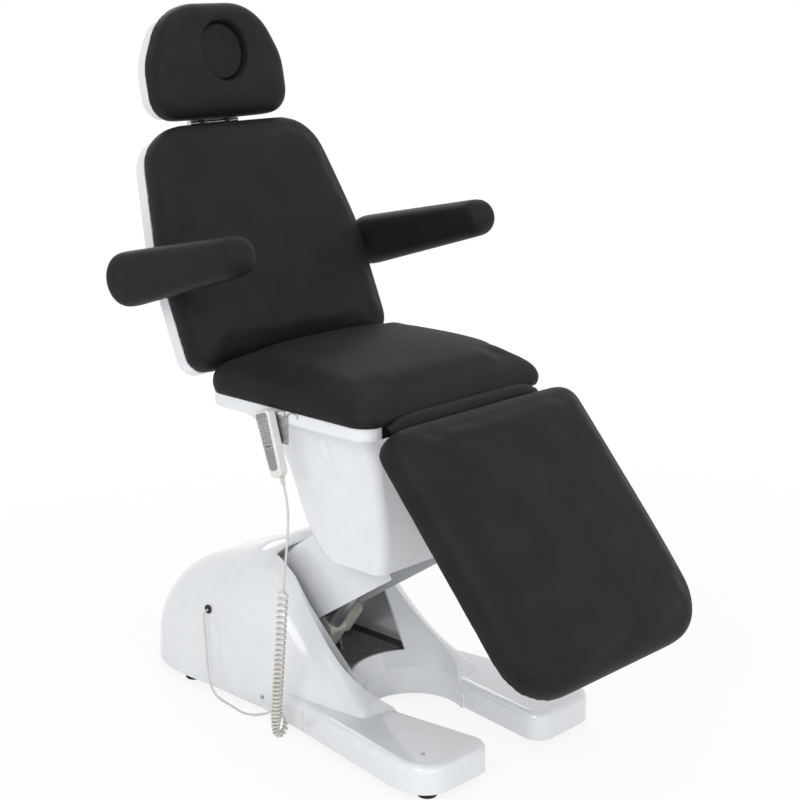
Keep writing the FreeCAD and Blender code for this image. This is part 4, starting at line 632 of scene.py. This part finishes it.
def ring(wide, long, corner):
    """A rounded rectangle, in mm, as places in order."""
    places = []
    for w, u, start in ((1, 1, 0), (-1, 1, 90), (-1, -1, 180), (1, -1, 270)):
        for turn in (0, 30, 60, 90):
            angle = math.radians(start + turn)
            places.append((w * (wide / 2 - corner) + corner * math.cos(angle),
                           u * (long / 2 - corner) + corner * math.sin(angle)))
    return places


# the print on the panel, in mm: three rows of keys, and a row of three dots below them
KEY_ROWS = 3
ROWS_DOWN = (26, 43, 60, 80)
KEY_LINE = ring(33, 15, 4)
DOT_LINE = ring(25, 8, 3)
DOT = ring(4.4, 3.0, 1.5)
DOT_STEP = 0.0075
PRINT_R = 0.00028
UP_ARROW = ((-2.6, 2.0), (2.6, 2.0), (0.0, -2.6))
DOWN_ARROW = ((-2.6, -2.0), (0.0, 2.6), (2.6, -2.0))
for number in range(1, 7):
    arrow = UP_ARROW if number % 2 else DOWN_ARROW
    mark("arrow_on_key_%d" % number, front("key_%d" % number), arrow, "key_body_%d" % number, "black_rubber")


def loop_curve(name, points, radius, closed, body, slot):
    """A bent wire or a printed line through the points."""
    curve = bpy.data.curves.new(name, "CURVE")
    curve.dimensions = "3D"
    curve.bevel_depth = radius
    curve.bevel_resolution = 3
    curve.use_fill_caps = True
    spline = curve.splines.new("POLY")
    spline.points.add(len(points) - 1)
    for knot, point in zip(spline.points, points):
        knot.co = (*point, 1.0)
    spline.use_cyclic_u = closed
    piece = placed(name, curve)
    finish(piece, slot)
    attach(piece, body)


panel_top = metres(-9, 0, 793)
panel_top.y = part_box("handset_panel")[0][1] + MARK_OFF.y
for row, down in enumerate(ROWS_DOWN):
    frame_line = KEY_LINE if row < KEY_ROWS else DOT_LINE
    centre = panel_top + DOWN * (down / 1000)
    places = [centre + (ACROSS * w + DOWN * u) / 1000 for w, u in frame_line]
    loop_curve("line_round_row_%d" % (row + 1), places, PRINT_R, True, "seat", "handset_plastic")
for column in (-1, 0, 1):
    centre = panel_top + DOWN * (ROWS_DOWN[-1] / 1000) + ACROSS * (DOT_STEP * column)
    mark("dot_%d_on_panel" % (column + 2), centre, DOT, "seat", "black_rubber")

# the hook hangs on the rim of the seat pan by a bent wire
RIM_Y = -293
WIRE_R = 0.0013
HOOK_WIRE = ((10, 785), (23, 795), (39, 796), (42, 783), (62, 797), (81, 794), (81, 786))
wire = [metres(x, RIM_Y, z) for x, z in HOOK_WIRE]
loop_curve("hook_wire", wire, WIRE_R, False, "seat", "zinc_plate")


# Leather between the seat and the leg rest

# the strip on the pan: its thickness, its place off the wall, and what it leaves bare
TRIM_THICK, TRIM_OFF = 0.0016, 0.0002
TRIM_ENDS, TRIM_FOOT = 0.050, 0.006
# the fold: an arc round the hinge, in degrees from upright, bulging in its middle and tucked in at its ends
FOLD_STEPS = 16
FOLD_FROM, FOLD_TO = -4, 70
FOLD_R, FOLD_BULGE = 0.037, 0.006
FOLD_HALF, FOLD_TUCK = 0.244, 0.55


def front_trim():
    """A flat strip of leather on the front wall of the seat pan."""
    low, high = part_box("seat_pan")
    x0 = high[0] + TRIM_OFF
    y0, y1 = low[1] + TRIM_ENDS, high[1] - TRIM_ENDS
    z0, z1 = low[2] + TRIM_FOOT, high[2]
    corners = [(x, y, z) for x in (x0, x0 + TRIM_THICK) for y in (y0, y1) for z in (z0, z1)]
    faces = [(0, 1, 3, 2), (4, 6, 7, 5), (0, 4, 5, 1), (2, 3, 7, 6), (0, 2, 6, 4), (1, 5, 7, 3)]
    mesh = bpy.data.meshes.new("seat_front_trim")
    mesh.from_pydata(corners, [], faces)
    piece = placed("seat_front_trim", mesh)
    finish(piece, "black_leather")
    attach(piece, "seat")


def hinge_gusset():
    """The fold of leather from seat to leg rest: it hides the hinge."""
    points = []
    for k in range(FOLD_STEPS + 1):
        share = k / FOLD_STEPS
        turn = math.radians(FOLD_FROM + (FOLD_TO - FOLD_FROM) * share)
        reach = FOLD_R + FOLD_BULGE * math.sin(math.pi * share)
        out = UP * math.cos(turn) + AHEAD * math.sin(turn)
        for n in range(FOLD_STEPS + 1):
            across = 2 * n / FOLD_STEPS - 1
            tuck = 1 - FOLD_TUCK * across ** 8
            points.append(LEG_HINGE + SIDE * (FOLD_HALF * across) + out * (reach * tuck))
    row = FOLD_STEPS + 1
    corners = [k * row + n for k in range(FOLD_STEPS) for n in range(FOLD_STEPS)]
    mesh = bpy.data.meshes.new("leg_hinge_gusset")
    mesh.from_pydata(points, [], [(c, c + 1, c + row + 1, c + row) for c in corners])
    smooth(mesh)
    piece = placed("leg_hinge_gusset", mesh)
    finish(piece, "black_leather")
    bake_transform(piece)


front_trim()
hinge_gusset()


# Camera, floor and light

LAMPS_AIM = Vector((0, 0, 0.8))
ROOM_LIGHT = 0.66
FLOOR_REACH = 6.0
# how white the floor looks near the chair, and from where to where it fades into the background
FLOOR_WHITE = 0.88
FADE_FROM, FADE_TO = 0.9, 2.8
# the camera that was fitted to the photo, in the part's own drawing
CAMERA_PLACE = (2698.3, -2708.4, 1754.4)
CAMERA_DOWN, CAMERA_ROUND = 14.5922, 43.7066
CAMERA_LENS, CAMERA_SENSOR = 76.5, 36.0


def area_lamp(name, place, size, power):
    """A round soft lamp that looks at the middle of the chair."""
    lamp = bpy.data.lights.new(name, "AREA")
    lamp.shape = "DISK"
    lamp.size = size
    lamp.energy = power
    holder = placed(name, lamp)
    holder.location = place
    holder.rotation_euler = (LAMPS_AIM - Vector(place)).to_track_quat("-Z", "Y").to_euler()


def seen_directly(tree):
    """1 for rays from the camera or a glossy or clear face, and 0 for the light that falls on the chair."""
    paths = add(tree, "ShaderNodeLightPath")
    mirrored = add(tree, "ShaderNodeMath", operation="MAXIMUM",
                   links=[(0, paths.outputs["Is Camera Ray"]), (1, paths.outputs["Is Glossy Ray"])])
    through = add(tree, "ShaderNodeMath", operation="MAXIMUM",
                  links=[(0, mirrored.outputs[0]), (1, paths.outputs["Is Transmission Ray"])])
    return through.outputs[0]


def white_world():
    """A pale, even room for the light, and plain white for the background."""
    world = bpy.data.worlds.new("studio")
    world.use_nodes = True
    tree = world.node_tree
    room = tree.nodes["Background"]
    room.inputs["Color"].default_value = colour("#f4f5f7")
    room.inputs["Strength"].default_value = ROOM_LIGHT
    white = add(tree, "ShaderNodeBackground", Color=(1, 1, 1, 1), Strength=1.0)
    mix = add(tree, "ShaderNodeMixShader",
              [(0, seen_directly(tree)), (1, room.outputs[0]), (2, white.outputs[0])])
    tree.links.new(mix.outputs[0], tree.nodes["World Output"].inputs["Surface"])
    bpy.context.scene.world = world


def white_floor():
    """A matt floor, whitened where it is seen directly; the chair's shadow stays on it."""
    corners = [(FLOOR_REACH * x, FLOOR_REACH * y, 0) for x, y in ((-1, -1), (1, -1), (1, 1), (-1, 1))]
    mesh = bpy.data.meshes.new("studio_floor")
    mesh.from_pydata(corners, [], [(0, 1, 2, 3)])
    floor = placed("studio_floor", mesh)
    material, tree, shader = new_material("matt_studio_floor")
    shader.inputs["Base Color"].default_value = colour("#f7f7f7")
    shader.inputs["Roughness"].default_value = 0.9
    white = add(tree, "ShaderNodeEmission", Color=(1, 1, 1, 1), Strength=1.0)
    # further out the floor fades into the white of the background
    place = add(tree, "ShaderNodeTexCoord").outputs["Object"]
    away = add(tree, "ShaderNodeVectorMath", [(0, place)], operation="LENGTH")
    fade = add(tree, "ShaderNodeMapRange", [("Value", away.outputs["Value"])],
               interpolation_type="SMOOTHSTEP", From_Min=FADE_FROM, From_Max=FADE_TO,
               To_Min=FLOOR_WHITE, To_Max=1.0)
    share = add(tree, "ShaderNodeMath", operation="MULTIPLY",
                links=[(0, seen_directly(tree)), (1, fade.outputs["Result"])])
    mix = add(tree, "ShaderNodeMixShader",
              [(0, share.outputs[0]), (1, shader.outputs[0]), (2, white.outputs[0])])
    tree.links.new(mix.outputs[0], tree.nodes["Material Output"].inputs["Surface"])
    mesh.materials.append(material)


scene = bpy.context.scene
scene.view_settings.view_transform = "Standard"
white_world()
white_floor()
area_lamp("key_lamp", (1.4, -3.4, 2.5), 2.2, 50)
area_lamp("top_lamp", (0.2, -0.4, 4.4), 3.0, 20)
area_lamp("fill_lamp", (3.6, 1.0, 2.4), 2.5, 26)
area_lamp("low_lamp", (3.3, -1.6, 0.9), 1.8, 18)
area_lamp("rear_lamp", (-3.0, 1.5, 2.8), 2.0, 28)

lens = bpy.data.cameras.new("photo_camera")
lens.sensor_width = CAMERA_SENSOR
lens.lens = CAMERA_LENS
camera = placed("photo_camera", lens)
camera.location = metres(*CAMERA_PLACE)
camera.rotation_euler = (math.radians(90 - CAMERA_DOWN), 0, math.radians(CAMERA_ROUND))
scene.camera = camera
